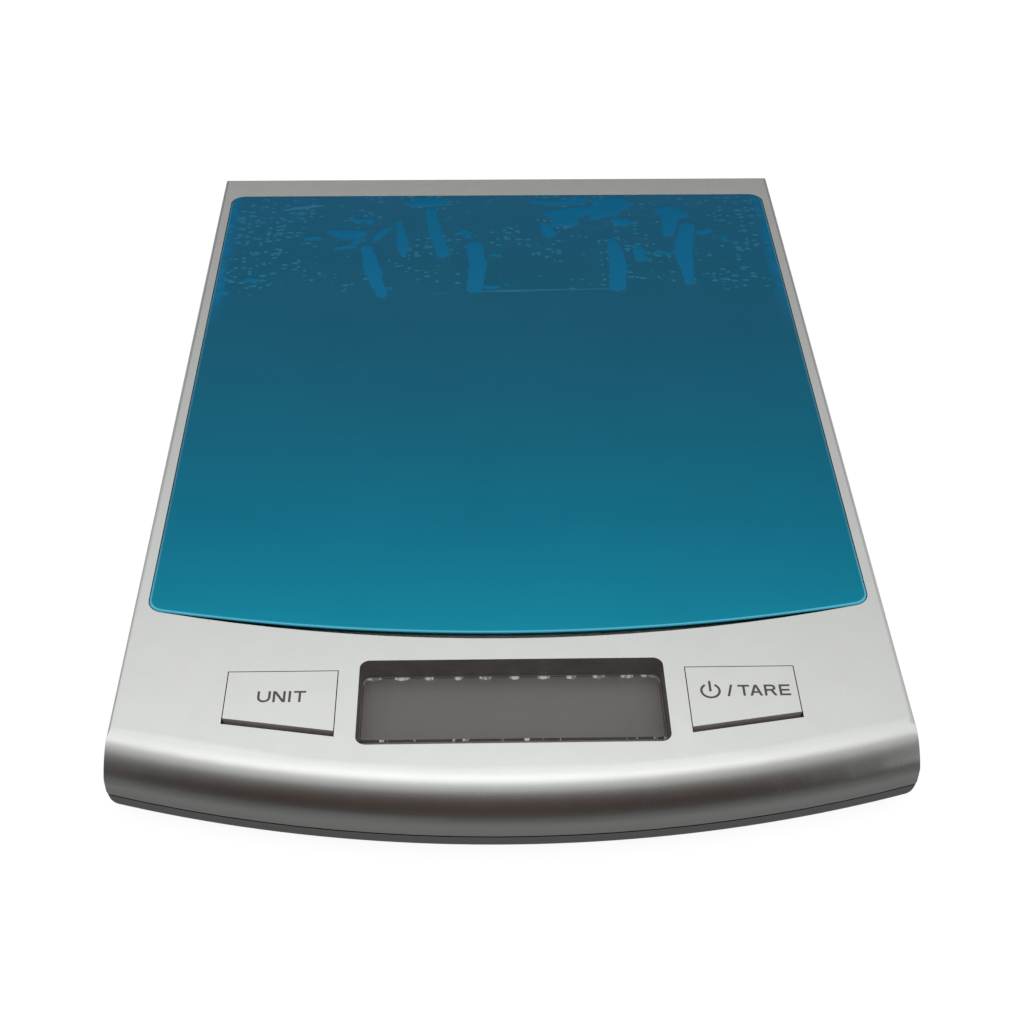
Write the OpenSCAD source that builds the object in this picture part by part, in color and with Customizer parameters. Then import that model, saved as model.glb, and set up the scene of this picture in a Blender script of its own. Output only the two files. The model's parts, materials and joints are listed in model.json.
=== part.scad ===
// Digital kitchen scale: a slim housing with a bowed, rolled front edge, a flush steel
// weighing platform on a single-point load cell, a display window and two rocking keys.
// Origin: centre of the footprint on the table. +X right, +Y rear, +Z up. Millimetres.

/* [Body] */
// Overall width of the body, at its widest
body_w = 162; // [154:0.1:180]
// Overall length of the body, from the front edge to the rear wall
body_l = 236.2; // [232:0.1:260]
// Radius of the bowed front edge, seen from above
front_arc_r = 280; // [240:1:400]
// Radius of the rolled front edge
nose_r = 8.8; // [7.5:0.1:9.4]
// Lean of each side wall between its widest point and the top
side_draft = 0.7; // [0:0.1:1.2]
// Lean of the rear wall between its widest point and the top
rear_draft = 0.4; // [0:0.1:1]
// Rounding of the top edge at the sides and the rear
edge_r = 1.0; // [0.5:0.1:1.6]
// Rounding of the lower edge at the sides and the rear, from the underside up past the seam
lower_r = 5; // [3:0.1:6]
// Radius of the rear corners, seen from above
rear_corner_r = 3.2; // [1.5:0.1:6]
// Radius of the front corners, seen from above
front_corner_r = 1.4; // [1:0.1:3]
// Wall thickness of the housing
wall = 2.0; // [1.6:0.1:2.4]
// Thickness of the cover's top skin
skin = 2.0; // [1.6:0.1:2.4]
// Height of the parting line above the table
seam_z = 6.0; // [5.4:0.1:6.6]
// Height of the dark seam groove
seam_groove = 0.45; // [0.15:0.05:0.6]

/* [Base] */
// How far the base stands back from the cover at the seam
base_step = 0.1; // [0.05:0.05:0.6]
// Rounding of the base's lower edge at the front
base_edge_r = 2.0; // [0.8:0.1:2.4]
// Thickness of the base floor
floor_t = 1.6; // [1.4:0.1:2.2]
// Height of the lip that rises into the cover
lip_h = 1.2; // [0.8:0.1:1.6]
// Thickness of that lip
lip_t = 0.9; // [0.7:0.05:1.0]
// Clearance around the lip
lip_gap = 0.1; // [0.05:0.05:0.2]
// Height of the stiffening ribs on the floor
rib_h = 1.2; // [0.8:0.1:1.6]
// Thickness of those ribs
rib_t = 1.0; // [0.8:0.1:1.4]

/* [Feet] */
// Height of the base's underside above the table
foot_h = 2.0; // [1.6:0.1:3]
// Radius of a rubber foot
foot_r = 7.0; // [5:0.1:8]
// Depth of the pocket that a foot is glued into
foot_pocket = 0.6; // [0.4:0.1:0.8]
// Distance of the feet from the side of the body
foot_side = 23; // [20:0.1:26]
// Distance of the front feet from the front edge
foot_front = 30.1; // [28:0.1:34]
// Distance of the rear feet from the rear wall
foot_rear = 22.1; // [20:0.1:26]

/* [Platform] */
// Width of the painted strip beside the platform, at the top
side_strip = 2.86; // [2.6:0.02:4]
// Width of the painted strip behind the platform, at the top
rear_strip = 9.9; // [8:0.1:14]
// Depth of the control panel, from the front edge to the platform's front edge
panel_depth = 45.4; // [44:0.1:48]
// Radius of the platform's bowed front edge
platform_arc_r = 369; // [330:1:400]
// Gap between the platform and its recess at the sides, the rear and the front corners
platform_gap = 0.3; // [0.2:0.05:0.6]
// Gap at the middle of the platform's front edge
front_gap = 1.7; // [1.5:0.05:2.2]
// Radius of the platform's corners
platform_corner_r = 3.6; // [2.5:0.1:5]
// Thickness of the steel platform plate
plate_t = 0.8; // [0.6:0.05:1.0]
// Depth of the plate's turned-down rim below the plate
rim_h = 1.1; // [0.8:0.1:1.3]
// Thickness of the protective film on the plate
film_t = 0.08; // [0.05:0.01:0.12]
// How far the plate stands above the cover's top
platform_proud = 0.15; // [0:0.05:0.4]
// Thickness of the adhesive tape under the plate
tape_t = 0.25; // [0.2:0.05:0.4]
// Width of one strip of tape
tape_w = 14; // [10:1:16]
// Distance of the tape's ends from the platform's front and rear edges
tape_end = 20; // [15:1:30]
// Thickness of the platform tray
tray_t = 1.2; // [1:0.1:1.6]
// Travel of the platform down to its stops
platform_travel = 0.5; // [0.4:0.05:0.6]
// Thickness of the recess floor, the deck
deck_t = 1.2; // [1:0.1:1.5]
// Thickness of the recess's own walls
recess_wall = 1.6; // [1.2:0.1:1.8]
// Thickness of an overload stop
stop_h = 0.4; // [0.3:0.05:0.5]
// Radius of an overload stop
stop_r = 4.0; // [3:0.1:5]
// Distance of the stops from the platform's edges
stop_inset = 14; // [12:1:20]

/* [Load cell] */
// Length of the load cell
cell_l = 47; // [44:1:50]
// Width of the load cell
cell_w = 12; // [10:0.5:13]
// Height of the load cell
cell_h = 6.0; // [5.5:0.1:6.4]
// Radius of the two bores that make the bending beam
beam_bore_r = 2.2; // [1.8:0.1:2.4]
// Distance between the two beam bores
beam_bore_pitch = 8; // [6:0.5:9]
// Distance between the two screws at each end
cell_screw_pitch = 8; // [6.5:0.5:9]
// Distance from the end of the cell to its first screw
cell_screw_end = 5; // [4:0.5:6]
// Height of the seat under the cell's fixed end
seat_h = 1.0; // [0.8:0.1:1.4]
// Thickness of the spacer below the fixed end
lower_spacer_t = 0.8; // [0.6:0.1:1.2]
// Thickness of the spacer above the free end
upper_spacer_t = 1.0; // [0.8:0.1:1.2]
// Length of a spacer
spacer_l = 17; // [15:0.5:18]
// Gap between the cell and the deck above it
cell_deck_gap = 0.6; // [0.5:0.1:1]
// Thickness of the white coating over the strain gauges
coating_t = 0.4; // [0.3:0.05:0.5]

/* [Display] */
// Width of the display window
window_w = 62.5; // [58:0.1:64]
// Depth of the display window, front to rear
window_l = 22.8; // [20:0.1:24]
// Radius of the window's corners
window_r = 2.1; // [1:0.1:3]
// Distance of the window's centre from the front edge
window_y = 26.3; // [25.5:0.1:27]
// Depth of the display face below the cover's top
window_depth = 4.8; // [4.2:0.1:5.2]
// How far the bezel's opening is smaller than the window, each side
bezel_ledge = 0.2; // [0.15:0.05:0.5]
// Thickness of the bezel's walls
bezel_t = 1.2; // [1:0.1:1.4]
// How far the display glass reaches past the window at each end
glass_over_x = 1.7; // [1.4:0.1:1.9]
// How far the display glass reaches past the window, front and rear
glass_over_y = 2.6; // [2.2:0.1:2.8]
// Thickness of the two glass sheets together
glass_t = 2.0; // [1.6:0.1:2.2]
// Thickness of a polariser sheet
polariser_t = 0.2; // [0.15:0.05:0.3]
// Thickness of the protective film on the display
window_film_t = 0.06; // [0.04:0.01:0.1]
// Height of the rubber contact strips under the glass
zebra_h = 3.4; // [3:0.1:3.6]
// Width of those strips
zebra_w = 2.2; // [1.8:0.1:2.6]

/* [Keys] */
// Distance of a key's opening from the centre line
key_x = 35.5; // [35.4:0.05:37]
// Distance of a key's opening from the side of the body
key_side = 22.85; // [21:0.05:25]
// Distance of the opening's rear edge from the front edge of the body
key_rear = 35.0; // [34:0.1:36]
// Distance of the opening's front inner corner from the front edge of the body
key_front = 17.06; // [16.5:0.02:18]
// Slant of the opening's front edge
key_slant = 9.3; // [6:0.1:10]
// Gap beside and behind a key
key_gap = 0.2; // [0.15:0.05:0.4]
// Gap in front of a key, where it swings as it is pressed
key_front_gap = 1.5; // [1.2:0.1:1.8]
// Thickness of the key's top
key_t = 1.6; // [1.2:0.1:1.8]
// Height of the key's skirt, top included
key_skirt_h = 3.8; // [3.4:0.1:4.1]
// Thickness of the key's skirt
key_skirt_t = 1.0; // [0.8:0.1:1.2]
// Distance from the opening's rear edge back to the key's pivot
pivot_back = 3.6; // [3.2:0.1:4.2]
// Depth of the pivot below the cover's top
pivot_depth = 3.4; // [3.2:0.1:3.6]
// Radius of the key's pivot pins
pivot_r = 0.8; // [0.7:0.05:0.9]
// Running clearance of the pivot pins
pivot_gap = 0.05; // [0.03:0.01:0.08]
// Distance from the pivot to the switch
key_arm = 12; // [11:0.5:13]
// Width of a switch
switch_w = 6.0; // [5:0.1:6.5]
// Height of a switch body
switch_h = 3.5; // [3.2:0.1:3.7]
// How far a switch plunger stands out of its switch
plunger_h = 0.8; // [0.6:0.05:0.9]
// Radius of a switch plunger
plunger_r = 1.75; // [1.4:0.05:2]
// Length of the plunger that is inside the switch
plunger_in = 0.25; // [0.2:0.05:0.3]
// Gap between a key's post and its plunger
post_gap = 0.06; // [0.05:0.01:0.1]
// Radius of a key's post
post_r = 1.1; // [0.9:0.1:1.4]

/* [Circuit board] */
// Distance of the board's side edges from the sides of the body
board_side = 16; // [15:0.5:17]
// Thickness of the board
board_t = 1.2; // [1:0.1:1.4]
// Distance of the board's front edge from the front edge of the body
board_front = 11.6; // [11:0.1:13]
// Distance of the board's rear edge from the front edge of the body
board_rear = 45.4; // [44:0.1:47]
// Distance of the board's screws from its side edges
board_screw_side = 3.2; // [3:0.1:3.6]
// Distance of the board's screws from its front and rear edges
board_screw_end = 6.6; // [5:0.1:9]
// Radius of the blob over the controller
blob_r = 5.5; // [4:0.1:6]
// Height of that blob
blob_h = 1.2; // [0.8:0.1:1.4]

/* [Screws] */
// Radius of a housing screw
screw_r = 1.15; // [1:0.05:1.3]
// Length of a housing screw below its head
screw_l = 7.0; // [6:0.1:7.4]
// Radius of a housing screw's head
head_r = 2.3; // [2:0.1:2.6]
// Height of a housing screw's head
head_h = 1.6; // [1.2:0.1:1.7]
// Depth of the well that a head sits in
well_h = 2.2; // [2:0.1:2.4]
// Clearance of a screw in its hole
screw_gap = 0.05; // [0.03:0.01:0.1]
// Radius of the screw posts
post_outer_r = 3.2; // [3:0.1:3.6]
// Distance of the housing screws from the side of the body
screw_side = 9; // [8.8:0.1:9.6]
// Distance of the front screws from the front edge
screw_front = 26; // [24:0.5:28]
// Distance of the rear screws from the rear wall
screw_rear = 12; // [11:0.5:14]
// Radius of a load cell screw
cell_screw_r = 1.45; // [1.3:0.05:1.6]
// Radius of a load cell screw's head
cell_head_r = 2.75; // [2.5:0.05:3]
// Height of a load cell screw's head
cell_head_h = 1.2; // [1:0.1:1.3]
// How far a load cell screw reaches into the cell
cell_screw_in = 4.0; // [3.5:0.1:4.6]
// Radius of a board screw
board_screw_r = 0.95; // [0.8:0.05:1.1]
// Length of a board screw below its head
board_screw_l = 5.5; // [4.5:0.1:6.5]
// Radius of a board screw's head
board_head_r = 1.9; // [1.7:0.1:2.2]
// Height of a board screw's head
board_head_h = 1.1; // [0.9:0.1:1.3]

/* [Battery] */
// Distance of the coin cell's centre from the centre line
coin_x = 40; // [36:0.5:44]
// Distance of the coin cell's centre behind the platform's front edge
coin_y = 27.7; // [27:0.1:34]
// Radius of the coin cell
coin_r = 10.0; // [9:0.1:12]
// Thickness of the coin cell
coin_h = 3.2; // [2.5:0.1:3.4]
// Gap between the coin cell and the door
coin_door_gap = 0.3; // [0.2:0.1:0.5]
// Clearance round the coin cell
coin_gap = 0.4; // [0.3:0.1:0.6]
// Room above the coin cell for its spring contact
coin_room = 1.4; // [1.2:0.1:1.8]
// Thickness of the battery box's walls and ceiling
box_t = 1.2; // [1:0.1:1.4]
// Width of the battery door
door_w = 26.4; // [24:0.1:30]
// Length of the battery door, from its hinge to its free edge
door_l = 28.4; // [26:0.1:32]
// Gap round the battery door
door_gap = 0.3; // [0.2:0.05:0.4]
// Radius of the door's hinge pins
door_pin_r = 0.45; // [0.4:0.05:0.5]
// Length of each hinge pin
door_pin_l = 1.6; // [1.2:0.1:2]
// Width of the door's snap latch
latch_w = 8; // [6:0.5:10]
// Thickness of the latch's spring leaf
latch_t = 0.8; // [0.6:0.1:1]
// Thickness of the metal contacts
contact_t = 0.25; // [0.2:0.05:0.3]
// Width of the metal contacts
contact_w = 4; // [3:0.5:5]

/* [Leads] */
// Radius of a lead
lead_r = 0.5; // [0.4:0.05:0.55]
// Distance between neighbouring leads
lead_pitch = 1.2; // [1.15:0.05:1.4]

/* [Hidden] */

silver = [0.80, 0.81, 0.80];
base_grey = [0.55, 0.56, 0.56];
dark_plastic = [0.20, 0.17, 0.18];
steel = [0.72, 0.73, 0.75];
film_blue = [0.05, 0.38, 0.50];

$fn = 48;
arc_fn = 720; // sides of a circle that stands for a wide bow
eps = 0.01; // overlap that joins two pieces of one solid

// Plan positions, along Y
front_y = -body_l / 2;
rear_y = body_l / 2;
half_w = body_w / 2;
arc_cy = front_y + front_arc_r;
platform_front = front_y + panel_depth;
platform_rear = rear_y - rear_draft - rear_strip - platform_gap;
platform_half = half_w - side_draft - side_strip - platform_gap;
platform_mid = (platform_front + platform_rear) / 2;
recess_front = platform_front - front_gap;
platform_bow = platform_arc_r - sqrt(pow(platform_arc_r, 2) - pow(platform_half, 2));
recess_bow = platform_bow + front_gap - platform_gap;
recess_arc_r = (pow(platform_half, 2) + pow(recess_bow, 2)) / (2 * recess_bow);
window_cy = front_y + window_y;

// Heights: the stack from the table up to the top of the platform
floor_top = foot_h + floor_t;
seat_top = floor_top + seat_h;
cell_z = seat_top + lower_spacer_t;
cell_top = cell_z + cell_h;
boss_z = cell_top + upper_spacer_t;
deck_z = cell_top + cell_deck_gap;
deck_top = deck_z + deck_t;
tray_z = deck_top + stop_h + platform_travel;
tray_top = tray_z + tray_t;
plate_z = tray_top + tape_t;
plate_top = plate_z + plate_t;
top_z = plate_top - platform_proud;
skin_z = top_z - skin;
display_z = top_z - window_depth;
glass_z = display_z - polariser_t - glass_t;
glass_ledge_z = glass_z + glass_t / 2;
board_top = glass_ledge_z - zebra_h;
board_z = board_top - board_t;

// Load cell, lying along Y with its fixed end to the front
cell_y = platform_mid - cell_l / 2;
cell_end = platform_mid + cell_l / 2;
seat_skin = 1.0; // floor left under the screw holes of the seat
spacer_used = spacer_l - 1; // length of the spacer itself, short of the seat's end
fixed_screws = [cell_y + cell_screw_end, cell_y + cell_screw_end + cell_screw_pitch];
free_screws = [cell_end - cell_screw_end, cell_end - cell_screw_end - cell_screw_pitch];
beam_half = beam_bore_pitch / 2 + beam_bore_r;
boss_margin = 2.5; // how far the tray's boss is wider than the cell, each side
glue_t = 1.2; // thickness of the glue over the leads' soldered ends
window_margin = 3; // room between the boss and the edge of the deck's window

// Housing screws
screw_xs = [-1, 1] * (half_w - screw_side);
screw_ys = [front_y + screw_front, platform_mid, rear_y - screw_rear];
well_top = foot_h + well_h;
post_top = seam_z + 0.2;
pilot_spare = 0.4; // depth of a pilot hole past the screw's tip
screw_hole_r = screw_r + 0.25;
well_r = head_r + 0.5;
post_wall = 1.6; // wall of a base post round its well

// Ribs and load cell seat on the floor
rib_x = cell_w / 2 + 20;
rib_front = 2; // distance of the long ribs from the battery box
rib_rear = 8; // distance of the last cross rib from the rear screws
rib_side = 12; // distance of the cross ribs' ends from the feet's centres
seat_margin = 2;

// Feet
foot_xs = [-1, 1] * (half_w - foot_side);
foot_ys = [front_y + foot_front, rear_y - foot_rear];
foot_pad = 1.5; // width of the thickened ring round a foot's pocket

// Keys
key_w = half_w - key_side - key_x;
key_mid = key_x + key_w / 2;
key_rear_y = front_y + key_rear;
key_front_y = front_y + key_front;
pivot_y = key_rear_y + pivot_back;
pivot_z = top_z - pivot_depth;
switch_y = pivot_y - key_arm;
switch_top = board_top + switch_h;
plunger_top = switch_top + plunger_h;
arm_side = 4.85; // distance of each pivot arm from the side of the key's opening
arm_x = key_w / 2 - arm_side;
arm_w = 2.4;
ear_t = 1.2;
ear_gap = 0.2;
ear_wall = 1.0; // material round a pivot bore
ear_mouth = 0.8; // width of an ear's snap mouth, as a share of the pin's diameter

// Circuit board
board_front_y = front_y + board_front;
board_rear_y = front_y + board_rear;
board_mid_y = (board_front_y + board_rear_y) / 2;
board_w = body_w - 2 * board_side;
board_screw_xs = [-1, 1] * (board_w / 2 - board_screw_side);
board_screw_ys = [board_front_y + board_screw_end, board_rear_y - board_screw_end];
board_post_r = board_screw_r + 1.45;
chip_pitch = 4; // distance between neighbouring small parts
chip_row = 5; // distance of their two rows from the board's middle
chips_left = 22; // distance of each row's inner ends from the centre line
chips_right = 14;
capacitor_size = [2.0, 1.25, 0.9];
resistor_size = [1.6, 0.8, 0.5];
crystal_r = 0.75;
crystal_l = 6;
crystal_x = 10; // distance of the crystal's end from the centre line

// Display: the upper glass reaches past the lower one, onto the contact strips
bezel_w = window_w - 2 * bezel_ledge;
bezel_l = window_l - 2 * bezel_ledge;
glass_w = window_w + 2 * glass_over_x;
glass_l = window_l + 2 * glass_over_y;
glass_gap = 0.2;
zebra_inset = 0.6; // distance of a contact strip from the upper glass's edge
zebra_y = glass_l / 2 - zebra_inset - zebra_w / 2;
lower_glass_l = 2 * (zebra_y - zebra_w / 2 - glass_gap);
frame_w = glass_w + 2 * (glass_gap + bezel_t) - 0.4;
frame_l = glass_l + 2 * (glass_gap + bezel_t);

// Battery
coin_cy = platform_front + coin_y;
coin_z = floor_top + coin_door_gap;
coin_top = coin_z + coin_h;
ceiling_z = coin_top + coin_room;
ceiling_top = ceiling_z + box_t;
pocket_r = coin_r + coin_gap;
door_t = floor_t;
door_axis_z = foot_h + door_t / 2;
door_axis_y = coin_cy - door_l / 2 + door_t / 2;
door_free_y = coin_cy + door_l / 2;
latch_gap = 1.0; // space inside the latch's bend
latch_h = 3.0; // how far the latch rises above the door
latch_reach = 2 * latch_t + latch_gap;
latch_clear = 0.5;
latch_nub = 0.3; // how far the catch stands out of the latch, above the floor
tab_h = 0.9; // how far a contact's solder tab stands above the ceiling
slot_gap = 0.15; // clearance of a contact in its slot
positive_x = coin_x - coin_r - 0.1 - contact_t;
negative_y = coin_cy - pocket_r + 1.9;
box_half_x = door_w / 2 + door_gap + box_t;
box_front_y = door_axis_y - door_t / 2 - door_gap - box_t;
box_rear_y = door_free_y + latch_reach + latch_clear + box_t;

// A cutter that rounds the convex corner p between the points a and b
function unit(v) = v / norm(v);
module corner_cutter(p, a, b, r) {
    u = unit(a - p);
    v = unit(b - p);
    half = acos(u * v) / 2;
    c = p + unit(u + v) * r / sin(half);
    t1 = p + u * r / tan(half);
    t2 = p + v * r / tan(half);
    difference() {
        polygon([c, c + 1.5 * (t1 - c), p + (p - c), c + 1.5 * (t2 - c)]);
        translate(c) circle(r = r);
    }
}

// A cutter that rounds the corner where a straight side meets a bowed front
module bow_cutter(side, hw, front, arc_r, r) {
    cy = front + arc_r;
    c = [side * (hw - r), cy - sqrt(pow(arc_r - r, 2) - pow(hw - r, 2))];
    out = unit(c - [0, cy]);
    difference() {
        polygon([c, c + [side * 2 * r, 0], c + [side * 2 * r, -2 * r], c + out * 2 * r]);
        translate(c) circle(r = r);
    }
}

// A plate outline with straight sides, a straight rear and a bowed front
module bowed_plan(hw, rear, front, arc_r, r) {
    difference() {
        intersection() {
            translate([-hw, front - 1]) square([2 * hw, rear - front + 1]);
            translate([0, front + arc_r]) circle(r = arc_r, $fn = arc_fn);
        }
        for (s = [-1, 1]) {
            bow_cutter(s, hw, front, arc_r, r);
            corner_cutter([s * hw, rear], [0, rear], [s * hw, front], r);
        }
    }
}

module rounded_rect(w, l, r) {
    square([w - 2 * r, l], center = true);
    square([w, l - 2 * r], center = true);
    for (x = [-1, 1], y = [-1, 1])
        translate([x * (w / 2 - r), y * (l / 2 - r)]) circle(r = r);
}

// Sweeps a 2D shape drawn in X and Z along Y, and one drawn in Y and Z along X
module along_y(y0, y1) translate([0, y1, 0]) rotate([90, 0, 0]) linear_extrude(y1 - y0) children();
module along_x(x0, x1) translate([x0, 0, 0]) rotate([90, 0, 90]) linear_extrude(x1 - x0) children();

// A cylinder that lies along X
module rod_x(r, x0, x1, y, z) translate([x0, y, z]) rotate([0, 90, 0]) cylinder(r = r, h = x1 - x0);

// Vertical cutters for the four corners of the housing
module plan_corners(inset) {
    hw = half_w - inset;
    rear = rear_y - inset;
    linear_extrude(3 * top_z, center = true)
        for (s = [-1, 1]) {
            bow_cutter(s, hw, front_y + inset, front_arc_r - inset, front_corner_r);
            corner_cutter([s * hw, rear], [0, rear], [s * hw, front_y], rear_corner_r);
        }
}

// Half of a section: an upright wall at w with a lean above and a rounding below
module wall_section(w, lean, z_low, round_r) {
    bottom = [w, z_low];
    widest = [w, foot_h + lower_r];
    top = [w - lean, top_z];
    difference() {
        polygon([[-1, z_low], bottom, widest, top, [-1, top_z]]);
        corner_cutter(bottom, [0, z_low], widest, round_r);
        corner_cutter(top, widest, [0, top_z], edge_r);
    }
}

// Sides and rear of the whole body, standing back by an inset, cut off below z0 and above z1
module body_walls(inset, z0, z1) {
    intersection() {
        along_y(-body_l, body_l) for (s = [0, 1]) mirror([s, 0])
            wall_section(half_w - inset, side_draft, foot_h, lower_r);
        along_x(-body_w, body_w) union() {
            wall_section(rear_y - inset, rear_draft, foot_h, lower_r);
            translate([-body_l, foot_h]) square([body_l, top_z - foot_h]);
        }
        translate([-body_w, -body_l, z0]) cube([2 * body_w, 2 * body_l, z1 - z0]);
    }
}

// Outer form of the cover, from the seam up
module cover_form() {
    nose_top = [front_arc_r, top_z];
    difference() {
        intersection() {
            body_walls(0, seam_z, top_z);
            translate([0, arc_cy, 0]) rotate_extrude($fn = arc_fn) difference() {
                translate([0, seam_z]) square([front_arc_r, top_z - seam_z]);
                corner_cutter(nose_top, [front_arc_r, 0], [0, top_z], nose_r);
            }
        }
        plan_corners(0);
    }
}

// Hollow of the cover
module cover_cavity() {
    hw = half_w - side_draft - wall;
    rear = rear_y - rear_draft - wall;
    r = front_arc_r - wall;
    intersection() {
        translate([-hw, -body_l, seam_z - 1]) cube([2 * hw, body_l + rear, skin_z - seam_z + 1]);
        translate([0, arc_cy, 0]) rotate_extrude($fn = arc_fn) difference() {
            translate([0, seam_z - 2]) square([r, skin_z - seam_z + 2]);
            corner_cutter([r, skin_z], [r, 0], [0, skin_z], nose_r - wall);
        }
    }
}

// Outline of the platform recess, grown by a margin
module recess_plan(grow) {
    bowed_plan(platform_half + platform_gap + grow, platform_rear + platform_gap + grow,
        recess_front - grow, recess_arc_r + grow, platform_corner_r + platform_gap + grow);
}

// Outline of the platform, shrunk by a margin
module platform_plan(inset) {
    bowed_plan(platform_half - inset, platform_rear - inset,
        platform_front + inset, platform_arc_r - inset, platform_corner_r - inset);
}

// Corner points of a key opening on the right, shrunk by e, with a further gap in front
function key_points(e, front_e) =
    let (x0 = key_x + e, x1 = key_x + key_w - e, rear = key_rear_y - e)
    [
        [x0, rear],
        [x0, key_front_y + (x0 - key_x) * tan(key_slant) + front_e / cos(key_slant)],
        [x1, key_front_y + (x1 - key_x) * tan(key_slant) + front_e / cos(key_slant)],
        [x1, rear]
    ];

module both_sides() {
    children();
    mirror([1, 0, 0]) children();
}

// Two ears beside each pivot arm of one key, with snap mouths that open downwards
module key_ears() {
    ear_low = pivot_z - pivot_r - ear_wall;
    for (arm = [-1, 1], end = [-1, 1]) {
        x = key_mid + arm * arm_x + end * (arm_w / 2 + ear_gap + ear_t / 2) - ear_t / 2;
        difference() {
            translate([x, pivot_y - pivot_r - ear_wall, ear_low])
                cube([ear_t, 2 * (pivot_r + ear_wall), skin_z - ear_low + eps]);
            rod_x(pivot_r + pivot_gap, x - 1, x + ear_t + 1, pivot_y, pivot_z);
            translate([x - 1, pivot_y - ear_mouth * pivot_r, ear_low - 1])
                cube([ear_t + 2, 2 * ear_mouth * pivot_r, pivot_z - ear_low + 1]);
        }
    }
}

module boss_plan(margin) {
    w = cell_w + 2 * (boss_margin + margin);
    l = spacer_l + 2 * margin;
    translate([-w / 2, cell_end - spacer_l - margin]) square([w, l]);
}

module top_cover() {
    pilot_r = screw_r + screw_gap;
    pilot_top = well_top + screw_l + pilot_spare;
    color(silver) difference() {
        union() {
            difference() {
                cover_form();
                cover_cavity();
            }
            intersection() {
                translate([0, 0, deck_z]) linear_extrude(skin_z - deck_z + 1) recess_plan(recess_wall);
                cover_form();
            }
            for (x = screw_xs) {
                translate([x, screw_ys[0], post_top]) cylinder(r = post_outer_r, h = skin_z - post_top + eps);
                for (y = [screw_ys[1], screw_ys[2]])
                    translate([x, y, post_top]) cylinder(r = post_outer_r, h = deck_z - post_top + eps);
            }
            for (x = board_screw_xs, y = board_screw_ys)
                translate([x, y, board_top]) cylinder(r = board_post_r, h = skin_z - board_top + eps);
            both_sides() key_ears();
        }
        // platform recess and the deck's window over the load cell
        translate([0, 0, deck_top]) linear_extrude(top_z) recess_plan(0);
        translate([0, 0, deck_z - 1]) linear_extrude(deck_t + 2) boss_plan(window_margin);
        translate([-cell_w / 2 - 1, platform_mid - beam_half - 1, deck_z - 1])
            cube([cell_w + 2, cell_l / 2, deck_t + 2]);
        // display window and key openings
        translate([0, window_cy, skin_z - 1]) linear_extrude(skin + 2)
            rounded_rect(window_w, window_l, window_r);
        both_sides() translate([0, 0, skin_z - 1]) linear_extrude(skin + 2) polygon(key_points(0, 0));
        // pilot holes
        for (x = screw_xs, y = screw_ys)
            translate([x, y, post_top - 1]) cylinder(r = pilot_r, h = pilot_top - post_top + 1);
        for (x = board_screw_xs, y = board_screw_ys)
            translate([x, y, board_top - 1])
                cylinder(r = board_screw_r + screw_gap, h = board_screw_l - board_t + pilot_spare + 1);
        // rebate for the base's lip
        translate([0, 0, seam_z - 1]) linear_extrude(lip_h + lip_gap + 1)
            lip_plan(wall - lip_t - lip_gap);
    }
}

// Region inside a line that runs along the housing's walls, inset by e
module lip_plan(e) {
    intersection() {
        translate([-(half_w - side_draft - e), -body_l])
            square([2 * (half_w - side_draft - e), body_l + rear_y - rear_draft - e]);
        translate([0, arc_cy]) circle(r = front_arc_r - e, $fn = arc_fn);
    }
}

// Outer form of the base, from its underside up to the seam groove
module base_form() {
    top = seam_z - seam_groove;
    r = front_arc_r - base_step;
    difference() {
        intersection() {
            body_walls(base_step, foot_h, top);
            translate([0, arc_cy, 0]) rotate_extrude($fn = arc_fn) difference() {
                translate([0, foot_h]) square([r, top - foot_h]);
                corner_cutter([r, foot_h], [r, top], [0, foot_h], base_edge_r);
            }
        }
        plan_corners(base_step);
    }
}

// Hollow of the base, rounded where its floor meets the sides and the rear
module base_cavity() {
    hw = half_w - side_draft - wall;
    rear = rear_y - rear_draft - wall;
    intersection() {
        translate([0, 0, floor_top]) linear_extrude(top_z) lip_plan(wall);
        along_y(-body_l, body_l) difference() {
            translate([-hw, floor_top]) square([2 * hw, top_z]);
            for (s = [-1, 1])
                corner_cutter([s * hw, floor_top], [0, floor_top], [s * hw, top_z], lower_r - wall);
        }
        along_x(-body_w, body_w) difference() {
            translate([-body_l, floor_top]) square([body_l + rear, top_z]);
            corner_cutter([rear, floor_top], [0, floor_top], [rear, top_z], lower_r - wall);
        }
    }
}

module lip() {
    inset = wall - lip_t;
    z0 = seam_z - seam_groove - eps;
    difference() {
        translate([0, 0, z0]) linear_extrude(seam_z + lip_h - z0) lip_plan(inset);
        translate([0, 0, z0 - 1]) linear_extrude(lip_h + seam_groove + 3) lip_plan(wall);
    }
}

module battery_box() {
    h = ceiling_top - floor_top + eps;
    difference() {
        translate([coin_x - box_half_x, box_front_y, floor_top - eps])
            cube([2 * box_half_x, box_rear_y - box_front_y, h]);
        translate([coin_x - box_half_x + box_t, box_front_y + box_t, floor_top - 1])
            cube([2 * (box_half_x - box_t), box_rear_y - box_front_y - 2 * box_t, ceiling_z - floor_top + 1]);
    }
    // round pocket that hangs from the ceiling
    difference() {
        translate([coin_x, coin_cy, coin_z]) cylinder(r = pocket_r + box_t, h = ceiling_z - coin_z + eps);
        translate([coin_x, coin_cy, coin_z - 1]) cylinder(r = pocket_r, h = ceiling_z - coin_z + 1);
        translate([coin_x - pocket_r - box_t - 1, coin_cy - contact_w / 2 - 0.5, coin_z - 1])
            cube([box_t + 3, contact_w + 1, ceiling_z - coin_z + 1]);
    }
}

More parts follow.
